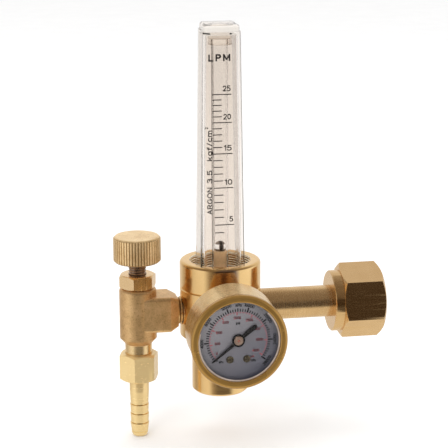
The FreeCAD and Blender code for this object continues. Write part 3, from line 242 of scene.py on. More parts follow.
def turned_metal(name, light, dark, rough, axis, offset, lines=0.25, wear=0.35, metal=1.0, groove=None):
    """Brass turned about an axis: fine rings from the tool, faint tarnish and handling marks.

    lines is the rings' share of the tone, wear how softly the tones meet, metal the metallic weight.
    groove is (radius, height): above the height, anything nearer the axis is bare, sharply polished metal.
    """
    skin = Finish(name)
    distance = skin.radius(offset, axis)
    rings = skin.tool_rings(axis, skin.times(distance, 0.2))
    marks = skin.noise(skin.place, 700, 3.0, 0.7)
    shade = skin.weigh(rings, skin.tarnish(), lines)
    skin.set("Base Color", skin.ramp(shade, [(0.5 - wear, dark), (0.5 + wear, light)]))
    matte = skin.vary(skin.weigh(rings, marks, 0.5), rough * 0.75, rough * 1.35)
    if groove:
        bore, height = groove
        cut = skin.times(skin.before(distance, bore - 0.05 * MM, bore + 0.05 * MM),
                         skin.past(skin.along(axis), height - 0.2 * MM, height + 0.2 * MM))
        matte = skin.times(matte, skin.span(cut, 1.0, 0.25))
        metal = skin.span(cut, metal, 1.0)
    skin.set("Metallic", metal)
    skin.set("Roughness", matte)
    skin.bump(rings, 0.0015 * MM, 0.6)
    return skin.material


def collar_metal(light, dark):
    """Satin turned collar, faintly tarnished, with a painted dark reflection down its front and a coarse,
    glittering thread inside its mouth.
    """
    skin = Finish("collar_brass")
    rough = 0.19
    mouth_radius = 14.0 * MM
    band_start, band_end = 0.978, 0.945
    low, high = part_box("flow_tube_collar")
    half = (high.x - low.x) / 2
    distance = skin.radius(BODY_AXIS, "z")
    rings = skin.tool_rings("z", distance)
    outside = skin.ramp(skin.weigh(rings, skin.tarnish(), 0.3), [(0.15, dark), (0.85, light)])
    # Painted reflection: a narrow band down the front, the side toward the eye, is darkened to a dull brown.
    painted_dark_front = skin.span(skin.along("y"), 0.8, 0.0, -band_start * half, -band_end * half)
    outside = skin.mix(painted_dark_front, outside, (0.40, 0.29, 0.25))
    glitter = skin.noise(skin.place, 1100, 3.0, 0.8)
    inside = skin.ramp(glitter, [(0.38, (0.55, 0.34, 0.17)), (0.45, (0.98, 0.78, 0.52)),
                                 (0.56, (1.0, 0.95, 0.80))])
    mouth = skin.before(distance, mouth_radius - 0.05 * MM, mouth_radius + 0.05 * MM)
    skin.set("Base Color", skin.mix(mouth, outside, inside))
    skin.set("Metallic", skin.span(mouth, 1.0, 0.15))
    skin.set("Roughness", skin.vary(rings, rough * 0.8, rough * 1.25))
    skin.bump(skin.math("ADD", skin.times(skin.times(glitter, mouth), 25.0), rings), 0.005 * MM, 0.6)
    return skin.material


def lapped_metal(name, light, dark, rough, axis):
    """Flat-machined brass with straight brush lines along an axis."""
    skin = Finish(name)
    stretch = [1.0, 1.0, 1.0]
    stretch["xyz".index(axis)] = 0.10
    brush = skin.noise(skin.moved(scale=stretch), 1500, 3.0, 0.65)
    shade = skin.weigh(brush, skin.tarnish(110), 0.3)
    skin.set("Base Color", skin.ramp(shade, [(0.2, dark), (0.8, light)]))
    skin.set("Metallic", 1.0)
    skin.set("Roughness", skin.vary(brush, rough * 0.9, rough * 1.1))
    skin.bump(brush, 0.0007 * MM, 0.6)
    return skin.material


def forged_metal():
    """Shot-blasted forging, with its nipple and seat turned bright and painted shade in their thread roots.
    """
    skin = Finish("forged_brass")
    nipple_root = centre("regulator_body").x - 20.2 * MM
    seat_top = -15.0 * MM
    grit = skin.noise(skin.place, 1500, 3.0, 0.7)
    fine = skin.noise(skin.place, 4200, 1.0, 0.5)
    tone = skin.weigh(grit, skin.tarnish(120), 0.4)
    blasted = skin.ramp(tone, [(0.30, (0.54, 0.33, 0.145)), (0.5, (0.78, 0.515, 0.25)),
                               (0.70, (1.0, 0.70, 0.38))])
    pits = skin.ramp(grit, [(0.30, (0.45, 0.28, 0.14)), (0.38, (1, 1, 1))])
    blasted = skin.mix(0.7, blasted, pits, "MULTIPLY")
    nipple = skin.past(skin.along("x"), nipple_root - 0.3 * MM, nipple_root + 0.3 * MM)
    seat = skin.before(skin.along("z"), seat_top - 0.2 * MM, seat_top + 0.2 * MM)
    machined = skin.math("MAXIMUM", nipple, seat)
    bright = skin.ramp(fine, [(0.30, (0.74, 0.50, 0.23)), (0.6, (0.95, 0.72, 0.40))])
    # Painted shade: machined metal nearer the axis than the crests, in the nipple's thread roots and the
    # seat, turns dark brown.
    crest = skin.mix(seat, skin.past(skin.radius((0, 0, DIAL.z), "x"), 6.0 * MM, 6.4 * MM),
                     skin.past(skin.radius(VALVE, "z"), 5.8 * MM, 6.0 * MM))
    bright = skin.mix(crest, (0.30, 0.15, 0.05), bright)
    skin.set("Base Color", skin.mix(machined, blasted, bright))
    skin.set("Metallic", 0.86)
    skin.set("Roughness", skin.mix(machined, skin.vary(grit, 0.34, 0.50), (0.22, 0.22, 0.22)))
    rugged = skin.times(skin.weigh(grit, fine, 0.75), skin.math("SUBTRACT", 1.0, machined))
    skin.bump(rugged, 0.10 * MM, 0.55)
    return skin.material


def knob_metal():
    """Satin brass knob: bright fluted rim with painted shade in its valleys, finely grained top."""
    skin = Finish("knob_brass")
    rim_radius = 10.0 * MM
    grain = skin.noise(skin.place, 2600, 2.0, 0.6)
    cloud = skin.noise(skin.place, 160, 3.0, 0.6)
    base = skin.ramp(skin.weigh(grain, cloud, 0.5), [(0.36, (0.72, 0.48, 0.22)), (0.64, (1.0, 0.76, 0.43))])
    distance = skin.radius(VALVE, "z")
    rim = skin.times(skin.past(distance, rim_radius - 0.05 * MM, rim_radius + 0.02 * MM),
                     skin.before(skin.along("z"), KNOB_TOP - 0.6 * MM, KNOB_TOP - 0.3 * MM))
    ridge = skin.past(distance, rim_radius + 0.12 * MM, rim_radius + 0.62 * MM)
    # Painted shade: the valleys between the flutes turn dark brown.
    painted_valley_shade = skin.times(rim, skin.math("SUBTRACT", 1.0, ridge))
    skin.set("Base Color", skin.mix(painted_valley_shade, base, (0.26, 0.13, 0.045)))
    skin.set("Metallic", 0.65)
    skin.set("Roughness", skin.vary(grain, 0.26, 0.42))
    skin.bump(grain, 0.10 * MM, 0.6)
    return skin.material


def ball_metal():
    """Steel ball with painted shade underneath, a painted dark reflection down a band on its front, and a
    painted highlight at each side.
    """
    skin = Finish("ball_steel")
    x, _, z = skin.split(skin.moved(tuple(centre("float_ball"))))
    speck = skin.noise(skin.place, 900, 2.0)
    across = skin.math("ABSOLUTE", skin.math("ADD", x, -0.2 * MM))
    level = skin.math("ABSOLUTE", skin.math("ADD", z, -0.5 * MM))
    # Painted light: a white highlight at each side, a dark band of painted reflection down the front, and
    # painted shade underneath.
    painted_glint = skin.times(skin.past(across, 0.9 * MM, 1.2 * MM), skin.before(level, 0.8 * MM, 1.3 * MM))
    painted_underside_shade = skin.before(z, -1.7 * MM, -0.9 * MM)
    painted_dark_band_and_underside = skin.math("MAXIMUM", skin.before(across, 0.4 * MM, 1.1 * MM), painted_underside_shade)
    shell = skin.ramp(speck, [(0.35, (0.34, 0.28, 0.24)), (0.65, (0.46, 0.40, 0.36))])
    painted_dark_shell = skin.mix(painted_dark_band_and_underside, shell, (0.05, 0.035, 0.028))
    skin.set("Base Color", skin.mix(painted_glint, painted_dark_shell, (1.0, 0.99, 0.98)))
    skin.set("Metallic", skin.span(painted_glint, 0.85, 0.0))
    skin.set("Roughness", skin.vary(speck, 0.08, 0.14))
    skin.bump(speck, 0.002 * MM, 0.4)
    return skin.material


# ---------------------------------------------------------------- plastic, glass, paint and ink

def clear_plastic(name, tint, tint_low, rough, wave, index, edge=None, solid=None, foot=None):
    """Clear moulded plastic with a faint flow pattern.

    edge is (colour, x of its dark side, x of its pale side): painted shade where the wall is seen edge on,
    heavier towards its dark side.
    solid is (height, colour): a deeper tone above a height, where the moulding is thick.
    foot is the height under which the plastic is water-clear.
    """
    skin = Finish(name)
    flow = skin.noise(skin.moved(scale=(1, 1, 0.12)), 160, 2.0)
    colour = skin.ramp(flow, [(0.35, tint_low), (0.65, tint)])
    if solid:
        height, deep = solid
        colour = skin.mix(skin.past(skin.along("z"), height - 0.6 * MM, height + 0.6 * MM), colour, deep)
    # Painted shade: a dark tone on the wall where it is seen edge on, fading from one side to the other.
    if edge:
        dark, dark_x, pale_x = edge
        side = skin.span(skin.along("x"), 1.0, 0.15, dark_x, pale_x)
        colour = skin.mix(skin.times(skin.past(skin.facing(), 0.34, 0.58), side), colour, dark)
    if foot:
        below = skin.before(skin.along("z"), foot - 0.8 * MM, foot + 0.4 * MM)
        colour = skin.mix(below, colour, (1.0, 0.98, 0.96))
    skin.set("Base Color", colour)
    skin.set("Transmission Weight", 1.0)
    skin.set("IOR", index)
    skin.set("Roughness", skin.vary(flow, rough * 0.6, rough * 1.4))
    skin.bump(flow, wave, 0.5)
    return skin.material


def plain_coat(name, light, dark, rough, grain, metallic=0.0, bump=0.02 * MM, shine=0.5):
    """Paint, plastic, rubber or blasted metal: one tone with a fine grain."""
    skin = Finish(name)
    speck = skin.noise(skin.place, grain, 4.0, 0.6)
    skin.set("Base Color", skin.ramp(speck, [(0.3, dark), (0.7, light)]))
    skin.set("Metallic", metallic)
    skin.set("Specular IOR Level", shine)
    skin.set("Roughness", skin.vary(speck, rough * 0.8, rough * 1.25))
    skin.bump(speck, bump, 0.5)
    return skin.material


def dial_enamel():
    """Silver-grey printed plate with painted shade: a little darker and bluer towards its lower right."""
    skin = Finish("dial_enamel")
    reach = 19 * MM
    x, _, z = skin.split(skin.moved(GAUGE_AXIS))
    # Painted shade: a gradient from the lighter upper left to the darker, bluer lower right.
    painted_shade_slope = skin.math("SUBTRACT", skin.times(z, 0.8), skin.times(x, 0.6))
    speck = skin.noise(skin.place, 3000, 2.0)
    tone = skin.math("ADD", skin.past(painted_shade_slope, -reach, reach), skin.times(speck, 0.10))
    skin.set("Base Color", skin.ramp(tone, [(0.0, (0.062, 0.063, 0.090)), (0.5, (0.125, 0.118, 0.132)),
                                            (1.0, (0.25, 0.235, 0.242))]))
    skin.set("Roughness", skin.vary(speck, 0.38, 0.52))
    skin.bump(speck, 0.01 * MM, 0.4)
    return skin.material


def ink(name, light, dark):
    return plain_coat(name, light, dark, 0.6, 2500, 0.0, 0.005 * MM, 0.15)


GOLD_LIGHT, GOLD_DARK = (0.96, 0.67, 0.32), (0.82, 0.53, 0.22)
BARB_GROOVE = (3.85 * MM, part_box("hose_barb")[0].z + 1.4 * MM)
# colours and sides of the painted shade on the clear walls' edges
COVER_EDGE_SHADE = ((0.50, 0.49, 0.50), TUBE.x + 9 * MM, TUBE.x - 13 * MM)
TUBE_EDGE_SHADE = ((0.06, 0.05, 0.045), TUBE.x - 3.8 * MM, TUBE.x + 3.8 * MM)
COVER_SOLID = (COVER_CEILING, (0.86, 0.81, 0.75))

MATERIALS = {
    "brass_body": turned_metal("body_brass", GOLD_LIGHT, GOLD_DARK, 0.20, "z", BODY_AXIS),
    "brass_collar": collar_metal(GOLD_LIGHT, GOLD_DARK),
    "brass_stem": turned_metal("stem_brass", (0.86, 0.61, 0.33), (0.62, 0.40, 0.19), 0.24, "x", STEM_AXIS,
                               0.3, 0.22, 0.92),
    "brass_nut": lapped_metal("nut_brass", (0.88, 0.62, 0.33), (0.72, 0.47, 0.22), 0.26, "x"),
    "brass_forged": forged_metal(),
    "brass_gland": lapped_metal("gland_brass", (1.0, 0.75, 0.45), (0.84, 0.59, 0.31), 0.27, "z"),
    "brass_knob": knob_metal(),
    "brass_bright": turned_metal("hose_tail_brass", (0.96, 0.74, 0.38), (0.88, 0.64, 0.30), 0.22, "z", VALVE,
                                 0.12, 0.35, 0.55, BARB_GROOVE),
    "brass_inner": turned_metal("inner_brass", (0.86, 0.60, 0.35), (0.68, 0.44, 0.23), 0.3, "z", BODY_AXIS,
                                0.4, 0.35, 0.4),
    "case_brass": turned_metal("case_brass", (0.92, 0.68, 0.35), (0.70, 0.47, 0.19), 0.26, "y", GAUGE_AXIS,
                               0.45, 0.3, 0.9),
    "bezel_brass": plain_coat("bezel_brass", (0.47, 0.27, 0.075), (0.43, 0.24, 0.062), 0.24, 90, 0.68,
                              0.0005 * MM),
    "pointer_black": plain_coat("pointer_black", (0.009, 0.008, 0.008), (0.004, 0.004, 0.004), 0.6, 1500,
                                shine=0.08),
    "pointer_cap_brass": turned_metal("cap_brass", (0.28, 0.19, 0.14), (0.14, 0.09, 0.06), 0.30, "y",
                                      GAUGE_AXIS, 0.5, 0.25, 0.8),
    "screw_brass": plain_coat("screw_brass", (0.12, 0.095, 0.06), (0.008, 0.006, 0.004), 0.22, 1400, 1.0),
    "steel": turned_metal("oiled_steel", (0.52, 0.40, 0.32), (0.20, 0.13, 0.09), 0.28, "z", VALVE,
                          0.4, 0.35, 0.9),
    "ball_steel": ball_metal(),
    "clear_cover": clear_plastic("clear_cover", (0.875, 0.825, 0.775), (0.84, 0.785, 0.73), 0.02, 0.03 * MM,
                                 1.28, COVER_EDGE_SHADE, COVER_SOLID, COLLAR_TOP),
    "clear_tube": clear_plastic("clear_tube", (0.99, 0.985, 0.985), (0.965, 0.965, 0.965), 0.015, 0.02 * MM,
                                1.3, TUBE_EDGE_SHADE, foot=COLLAR_TOP),
    "lens": clear_plastic("lens_glass", (1.0, 1.0, 1.0), (0.985, 0.99, 1.0), 0.01, 0.01 * MM, 1.2),
    "rubber": plain_coat("seal_rubber", (0.022, 0.022, 0.022), (0.012, 0.012, 0.012), 0.5, 1200),
    "nylon": plain_coat("nylon", (0.96, 0.93, 0.89), (0.90, 0.87, 0.83), 0.35, 700),
    "sinter": plain_coat("sintered_bronze", (0.55, 0.36, 0.17), (0.16, 0.09, 0.04), 0.6, 2600, 1.0, 0.2 * MM),
    "spring_steel": plain_coat("spring_steel", (0.60, 0.60, 0.60), (0.38, 0.38, 0.38), 0.25, 1400, 1.0),
    "dial_face": dial_enamel(),
}

POINTER_PAINT = ink("pointer_paint", (0.010, 0.008, 0.007), (0.005, 0.004, 0.004))
BLACK_INK = ink("black_ink", (0.012, 0.012, 0.014), (0.006, 0.006, 0.007))
RED_INK = ink("red_ink", (0.34, 0.09, 0.10), (0.28, 0.065, 0.075))
PINK_INK = ink("pink_ink", (0.34, 0.10, 0.12), (0.28, 0.08, 0.10))
GREY_INK = ink("grey_ink", (0.030, 0.024, 0.022), (0.016, 0.013, 0.012))
# Painted highlight: pale colour of the ring of painted reflection round the lens's edge.
LENS_RIM_GLINT = plain_coat("lens_rim_painted_glint", (0.60, 0.50, 0.42), (0.40, 0.32, 0.27), 0.4, 260)
CAP_RED = plain_coat("cap_dot_red", (0.34, 0.07, 0.04), (0.20, 0.03, 0.02), 0.35, 1500)


def dress(obj, material):
    obj.data.materials.clear()
    obj.data.materials.append(material)


NODE_SLOT = {part["node"]: part["material_slot"] for part in frame["record"]["subparts"]}
for node, obj in frame["nodes"].items():
    dress(obj, MATERIALS[NODE_SLOT[node]])
for node in ("flow_tube_shield", "metering_tube", "gauge_lens"):
    frame["nodes"][node].visible_shadow = False
    frame["nodes"][node].visible_diffuse = False


# ---------------------------------------------------------------- softened edges

def soften(node, width):
    """Small round on the sharp edges of a hexagon nut."""
    obj = frame["nodes"][node]
    weld = obj.modifiers.new("weld", "WELD")
    weld.merge_threshold = 0.005 * MM
    bevel = obj.modifiers.new("edge", "BEVEL")
    bevel.width = width
    bevel.segments = 2
    bevel.limit_method = "ANGLE"
    bevel.angle_limit = math.radians(30)
    bevel.harden_normals = True
    bevel.use_clamp_overlap = True


soften("inlet_nut", 0.25 * MM)
soften("gland_nut", 0.2 * MM)
soften("hose_nut", 0.2 * MM)


# ---------------------------------------------------------------- meshes

def settled(name, mesh):
    """Named mesh data from a finished bmesh."""
    data = bpy.data.meshes.new(name)
    mesh.to_mesh(data)
    mesh.free()
    return data


def piece(name, data, material, body):
    """Object made of some mesh data, moving with a body and dressed in its material."""
    obj = bpy.data.objects.new(name, data)
    bpy.context.scene.collection.objects.link(obj)
    dress(obj, material)
    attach(obj, body)


def disc(rings, sides, lay):
    """Round sheet through rings of (radius, height), the first one being its middle point.

    lay turns an (x, y, height) into a point of the frame.
    """
    mesh = bmesh.new()
    angles = [math.tau * i / sides for i in range(sides)]
    middle = mesh.verts.new(lay(0, 0, rings[0][1]))
    rows = [[mesh.verts.new(lay(radius * math.cos(a), radius * math.sin(a), height)) for a in angles]
            for radius, height in rings[1:]]
    for i in range(sides):
        j = (i + 1) % sides
        mesh.faces.new((middle, rows[0][i], rows[0][j]))
        for a, b in zip(rows, rows[1:]):
            mesh.faces.new((a[i], b[i], b[j], a[j]))
    return mesh


# ---------------------------------------------------------------- lettering

def bow(x, y, rx, ry, start, end):
    """Points of an elliptic arc about (x, y), from one angle to another in degrees."""
    steps = max(2, round(abs(end - start) / 30))
    angles = [math.radians(start + (end - start) * i / steps) for i in range(steps + 1)]
    return [(x + rx * math.cos(a), y + ry * math.sin(a)) for a in angles]


# width and pen strokes of each letter, for a capital one unit tall
GLYPHS = {
    "0": (0.56, [bow(0.28, 0.5, 0.28, 0.5, 0, 360)]),
    "1": (0.20, [[(0, 0.80), (0.20, 1), (0.20, 0)]]),
    "2": (0.54, [bow(0.27, 0.72, 0.26, 0.28, 165, -30) + [(0, 0), (0.54, 0)]]),
    "3": (0.56, [bow(0.27, 0.75, 0.25, 0.25, 150, -90) + bow(0.27, 0.25, 0.29, 0.25, 90, -155)]),
    "4": (0.58, [[(0.44, 0), (0.44, 1), (0, 0.3), (0.58, 0.3)]]),
    "5": (0.56, [[(0.52, 1), (0.09, 1), (0.05, 0.54)] + bow(0.27, 0.32, 0.29, 0.32, 125, -150)]),
    "6": (0.56, [bow(0.28, 0.31, 0.28, 0.31, 0, 360), [(0.46, 1), (0.16, 0.68), (0.02, 0.40)]]),
    "8": (0.56, [bow(0.28, 0.76, 0.23, 0.24, 0, 360), bow(0.28, 0.27, 0.28, 0.27, 0, 360)]),
    ".": (0.08, [[(0.04, 0), (0.04, 0.08)]]),
    "/": (0.34, [[(0, -0.12), (0.34, 1.05)]]),
    "A": (0.66, [[(0, 0), (0.33, 1), (0.66, 0)], [(0.12, 0.34), (0.54, 0.34)]]),
    "G": (0.70, [bow(0.36, 0.5, 0.36, 0.5, 45, 330) + [(0.70, 0.46), (0.42, 0.46)]]),
    "L": (0.50, [[(0, 1), (0, 0), (0.50, 0)]]),
    "M": (0.76, [[(0, 0), (0, 1), (0.38, 0.2), (0.76, 1), (0.76, 0)]]),
    "N": (0.62, [[(0, 0), (0, 1), (0.62, 0), (0.62, 1)]]),
    "O": (0.74, [bow(0.37, 0.5, 0.37, 0.5, 0, 360)]),
    "P": (0.54, [[(0, 0), (0, 1), (0.28, 1)] + bow(0.28, 0.74, 0.26, 0.26, 90, -90) + [(0, 0.48)]]),
    "R": (0.58, [[(0, 0), (0, 1), (0.28, 1)] + bow(0.28, 0.74, 0.26, 0.26, 90, -90) + [(0, 0.48)],
                 [(0.28, 0.48), (0.58, 0)]]),
    "a": (0.48, [bow(0.24, 0.35, 0.24, 0.35, 0, 360), [(0.48, 0.70), (0.48, 0)]]),
    "c": (0.46, [bow(0.26, 0.35, 0.26, 0.35, 45, 315)]),
    "f": (0.32, [[(0.12, 0), (0.12, 0.78)] + bow(0.30, 0.78, 0.18, 0.22, 180, 80),
                 [(0, 0.66), (0.30, 0.66)]]),
    "g": (0.50, [bow(0.25, 0.36, 0.25, 0.34, 0, 360),
                 [(0.50, 0.70), (0.50, -0.08)] + bow(0.25, -0.08, 0.25, 0.20, 0, -150)]),
    "i": (0.06, [[(0.03, 0), (0.03, 0.68)], [(0.03, 0.88), (0.03, 0.96)]]),
    "k": (0.46, [[(0, 0), (0, 1)], [(0.42, 0.68), (0, 0.28)], [(0.14, 0.42), (0.46, 0)]]),
    "m": (0.74, [[(0, 0), (0, 0.70)], bow(0.19, 0.46, 0.18, 0.24, 180, 0) + [(0.37, 0)],
                 bow(0.555, 0.46, 0.185, 0.24, 180, 0) + [(0.74, 0)]]),
    "p": (0.50, [[(0, 0.70), (0, -0.28)], bow(0.25, 0.35, 0.25, 0.35, 0, 360)]),
    "s": (0.42, [bow(0.21, 0.53, 0.19, 0.17, 30, 270) + bow(0.21, 0.18, 0.21, 0.18, 90, -150)]),
}


class Print:
    """Ink on one surface: letters and strokes drawn in a plane, in millimetres, then laid on the surface."""

    def __init__(self):
        self.mesh = bmesh.new()

    def letters(self, words, x, y, height, weight, turn=0.0, align=0.0, width=None, stretch=1.0, gap=0.24):
        """Words with their middle at (x, y), or one side of them when align is -1 or 1.

        height is a capital's, weight the pen's; width sets the words' length outright; gap parts the letters.
        """
        lines, pen = [], 0.0
        for letter in words:
            advance, strokes = GLYPHS[letter]
            lines += [[(pen + px, py) for px, py in stroke] for stroke in strokes]
            pen += advance + gap
        length = pen - gap
        tall = height - weight
        wide = (width - weight) / length if width else tall * stretch
        shift = align * (length * wide + weight) / 2
        c, s = math.cos(turn), math.sin(turn)
        for line in lines:
            flat = [((px - length / 2) * wide - shift, (py - 0.5) * tall) for px, py in line]
            laid = [(x + px * c - py * s, y + px * s + py * c) for px, py in flat]
            for (x0, y0), (x1, y1) in zip(laid, laid[1:]):
                self.stroke(x0, y0, x1, y1, weight, weight * 0.35)

    def stroke(self, x0, y0, x1, y1, width, reach=0.0):
        """Straight bar; reach lengthens it past both ends."""
        along = Vector((x1 - x0, y1 - y0, 0)).normalized()
        side = Vector((-along.y, along.x, 0)) * width / 2
        start = Vector((x0, y0, 0)) - along * reach
        end = Vector((x1, y1, 0)) + along * reach
        self.shape([(p.x, p.y) for p in (start + side, start - side, end - side, end + side)])

    def ray(self, angle, inner, outer, width):
        """Bar from one radius to another, straight out from the origin."""
        c, s = math.cos(angle), math.sin(angle)
        self.stroke(inner * c, inner * s, outer * c, outer * s, width)

    def shape(self, corners):
        self.mesh.faces.new([self.mesh.verts.new((x, y, 0)) for x, y in corners])

    def arc(self, radius, start, end, width):
        steps = 96
        rows = []
        for i in range(steps + 1):
            angle = start + (end - start) * i / steps
            rows.append([self.mesh.verts.new((r * math.cos(angle), r * math.sin(angle), 0))
                         for r in (radius - width / 2, radius + width / 2)])
        for a, b in zip(rows, rows[1:]):
            self.mesh.faces.new((a[0], a[1], b[1], b[0]))

    def apply(self, name, material, body, slot, lay, thick=0.03):
        """Thicken the ink and put it on its surface, a hair clear of it.

        lay turns an (x, y, height) in millimetres into a point of the frame.
        """
        lift = 0.01
        bmesh.ops.recalc_face_normals(self.mesh, faces=self.mesh.faces[:])
        for face in self.mesh.faces:
            if face.normal.z < 0:
                face.normal_flip()
        raised = bmesh.ops.extrude_face_region(self.mesh, geom=self.mesh.faces[:])
        for v in [g for g in raised["geom"] if isinstance(g, bmesh.types.BMVert)]:
            v.co.z += thick
        for v in self.mesh.verts:
            v.co = lay(v.co.x, v.co.y, v.co.z + lift)
        bmesh.ops.recalc_face_normals(self.mesh, faces=self.mesh.faces[:])
        piece(name, settled(name, self.mesh), material, body)


# ---------------------------------------------------------------- dial: two scales over one clockwise sweep

ZERO = math.radians(220)
SWEEP = math.radians(258.2)
TOP_KPA = 28000
TOP_PSI = 4000
KPA_PER_PSI = 6.8948
RING_RADIUS = 12.6


def dial_angle(kpa):
    return ZERO - SWEEP * kpa / TOP_KPA


def on_dial(x, y, height):
    return Vector((DIAL.x + x * MM, DIAL_FRONT - height * MM, DIAL.z + y * MM))


def kpa_tick(kpa):
    """Outer radius and width of a tick of the black scale."""
    if kpa % 4000 == 0:
        return 15.0, 0.68
    if kpa % 2000 == 0:
        return 14.4, 0.52
    return 14.1, 0.48


def black_print():
    """Outer scale in kPa, its numbers standing round the rim, and the units."""
    number_radius = 15.95
    black = Print()
    for kpa in range(0, TOP_KPA + 1, 500):
        outer, width = kpa_tick(kpa)
        black.ray(dial_angle(kpa), RING_RADIUS + 0.2, outer, width)
    for kpa in range(4000, TOP_KPA + 1, 4000):
        angle = dial_angle(kpa)
        turn = angle - math.pi / 2
        if kpa >= 24000:
            turn += math.pi
        black.letters(str(kpa), number_radius * math.cos(angle), number_radius * math.sin(angle), 1.5, 0.29,
                      turn, stretch=1.05)
    black.letters("0", -9.35, -8.5, 1.3, 0.3)
    black.letters("kPa", 0.1, 15.75, 1.5, 0.3)
    black.letters("kPa", 6.7, -9.5, 1.15, 0.26)
    black.letters("kPa", -7.6, -9.5, 1.15, 0.26)
    black.letters("psi", -0.1, 7.7, 1.35, 0.28)
    black.apply("dial_print_black", BLACK_INK, "regulator", "pointer_black", on_dial)


def red_print():
    """Inner scale in psi with upright numbers."""
    red = Print()
    for psi in range(0, TOP_PSI + 1, 100):
        inner, width = (11.3, 0.50) if psi % 500 == 0 else (12.1, 0.30)
        red.ray(dial_angle(psi * KPA_PER_PSI), inner, RING_RADIUS, width)
    for psi in range(500, TOP_PSI + 1, 500):
        angle = dial_angle(psi * KPA_PER_PSI)
        reach = 9.9 if 1500 <= psi <= 2500 else 9.2
        red.letters(str(psi), reach * math.cos(angle), reach * math.sin(angle) + 0.2, 1.3, 0.28)
    red.letters("0", -9.4, -5.5, 1.2, 0.26)
    red.letters("psi", 6.2, -7.6, 1.1, 0.24)
    red.apply("dial_print_red", RED_INK, "regulator", "dial_face", on_dial)


def ring_print():
    """Thin ring between the two scales."""
    ring = Print()
    ring.arc(RING_RADIUS, dial_angle(TOP_KPA), ZERO, 0.16)
    ring.apply("dial_print_ring", PINK_INK, "regulator", "dial_face", on_dial, 0.02)


black_print()
red_print()
ring_print()


# ---------------------------------------------------------------- flow scale on the clear cover's front

COVER_FOOT, COVER_CROWN = 12.8, 126.9
HALF_AT_FOOT, HALF_AT_CROWN = 10.2, 8.5


def on_cover(x, z, height):
    """The cover's front leans back from its foot to its crown."""
    rise = (z - COVER_FOOT) / (COVER_CROWN - COVER_FOOT)
    half = HALF_AT_FOOT + (HALF_AT_CROWN - HALF_AT_FOOT) * rise
    return Vector((TUBE.x + x * MM, -(half + height) * MM, z * MM))


def flow_height(flow):
    """Height of a flow's mark: the marks draw together upwards, as the tube's bore widens."""
    return 22.73 + 3.803 * flow - 0.02905 * flow * flow


def flow_print():
    column, upright = -6.1, math.pi / 2
    scale = Print()
    for flow in range(4, 26):
        z = flow_height(flow)
        left = -3.35 - 0.0142 * z
        right = 5.3 - 0.0152 * z
        if flow % 5 == 0:
            scale.stroke(left, z, right, z, 0.42)
            length = 3.5 if flow > 9 else 1.7
            scale.letters(str(flow), right - 0.35, z + 2.6, 2.55, 0.43, align=1.0, width=length)
        else:
            scale.stroke(left, z, left + 4.1, z, 0.42)
    scale.letters("LPM", -1.5, 115.75, 3.25, 0.70, width=9.7, gap=0.46)
    scale.letters("ARGON", column, 52.1, 2.35, 0.43, upright, width=12.3)
    scale.letters("3.5", column, 63.0, 2.35, 0.43, upright, width=5.9)
    scale.letters("kgf/cm", column, 77.0, 2.35, 0.43, upright, width=13.6)
    scale.letters("2", column - 1.3, 84.9, 1.4, 0.26, upright)
    scale.apply("flow_scale_print", GREY_INK, "regulator", "clear_cover", on_cover)


flow_print()


# ---------------------------------------------------------------- small parts

def on_lens(x, y, height):
    return Vector((DIAL.x + x * MM, LENS_FRONT - height * MM, DIAL.z + y * MM))


def lens_rim():
    """Painted highlight: a pale ring of painted reflection round the lens's edge, showing inside the bezel
    everywhere but its upper left.
    """
    rim = Print()
    rim.arc(17.5, math.radians(-195), math.radians(45), 0.65)
    rim.apply("lens_rim", LENS_RIM_GLINT, "regulator", "lens", on_lens)


def pointer_face():
    """Matt black plate on the front of the pointer: tapered needle and a broad, round-ended tail."""
    blade = frame["nodes"]["gauge_pointer"]
    arms = [blade.matrix_world @ v.co - DIAL for v in blade.data.vertices]
    far = max(arms, key=lambda arm: math.hypot(arm.x, arm.z))
    ahead = Vector((far.x, 0, far.z))
    tip = ahead.length / MM
    ahead.normalize()
    across = Vector((-ahead.z, 0, ahead.x))
    hub, half = 2.1, 0.8
    plate = Print()
    plate.shape([(hub, -half), (tip - 0.4, -0.30), (tip - 0.1, 0), (tip - 0.4, 0.30), (hub, half)])
    plate.shape([(-hub, half)] + bow(-9.2, 0, 1.05, 1.05, 90, 270) + [(-hub, -half)])

    def on_blade(x, y, height):
        return Vector((DIAL.x, POINTER_FRONT - height * MM, DIAL.z)) + (ahead * x + across * y) * MM

    plate.apply("pointer_face", POINTER_PAINT, "pointer_assembly", "pointer_black", on_blade)


def on_cap(x, y, height):
    return Vector((DIAL.x + x * MM, CAP_FRONT - height * MM, DIAL.z + y * MM))


def cap_dot():
    """Small red-brown centre mark on the pointer's cap."""
    mesh = disc([(0.0, 0.10), (0.30, 0.09), (0.42, 0.05), (0.46, 0.0)], 24, on_cap)
    bmesh.ops.recalc_face_normals(mesh, faces=mesh.faces[:])
    piece("cap_dot", settled("cap_dot", mesh), CAP_RED, "pointer_assembly")


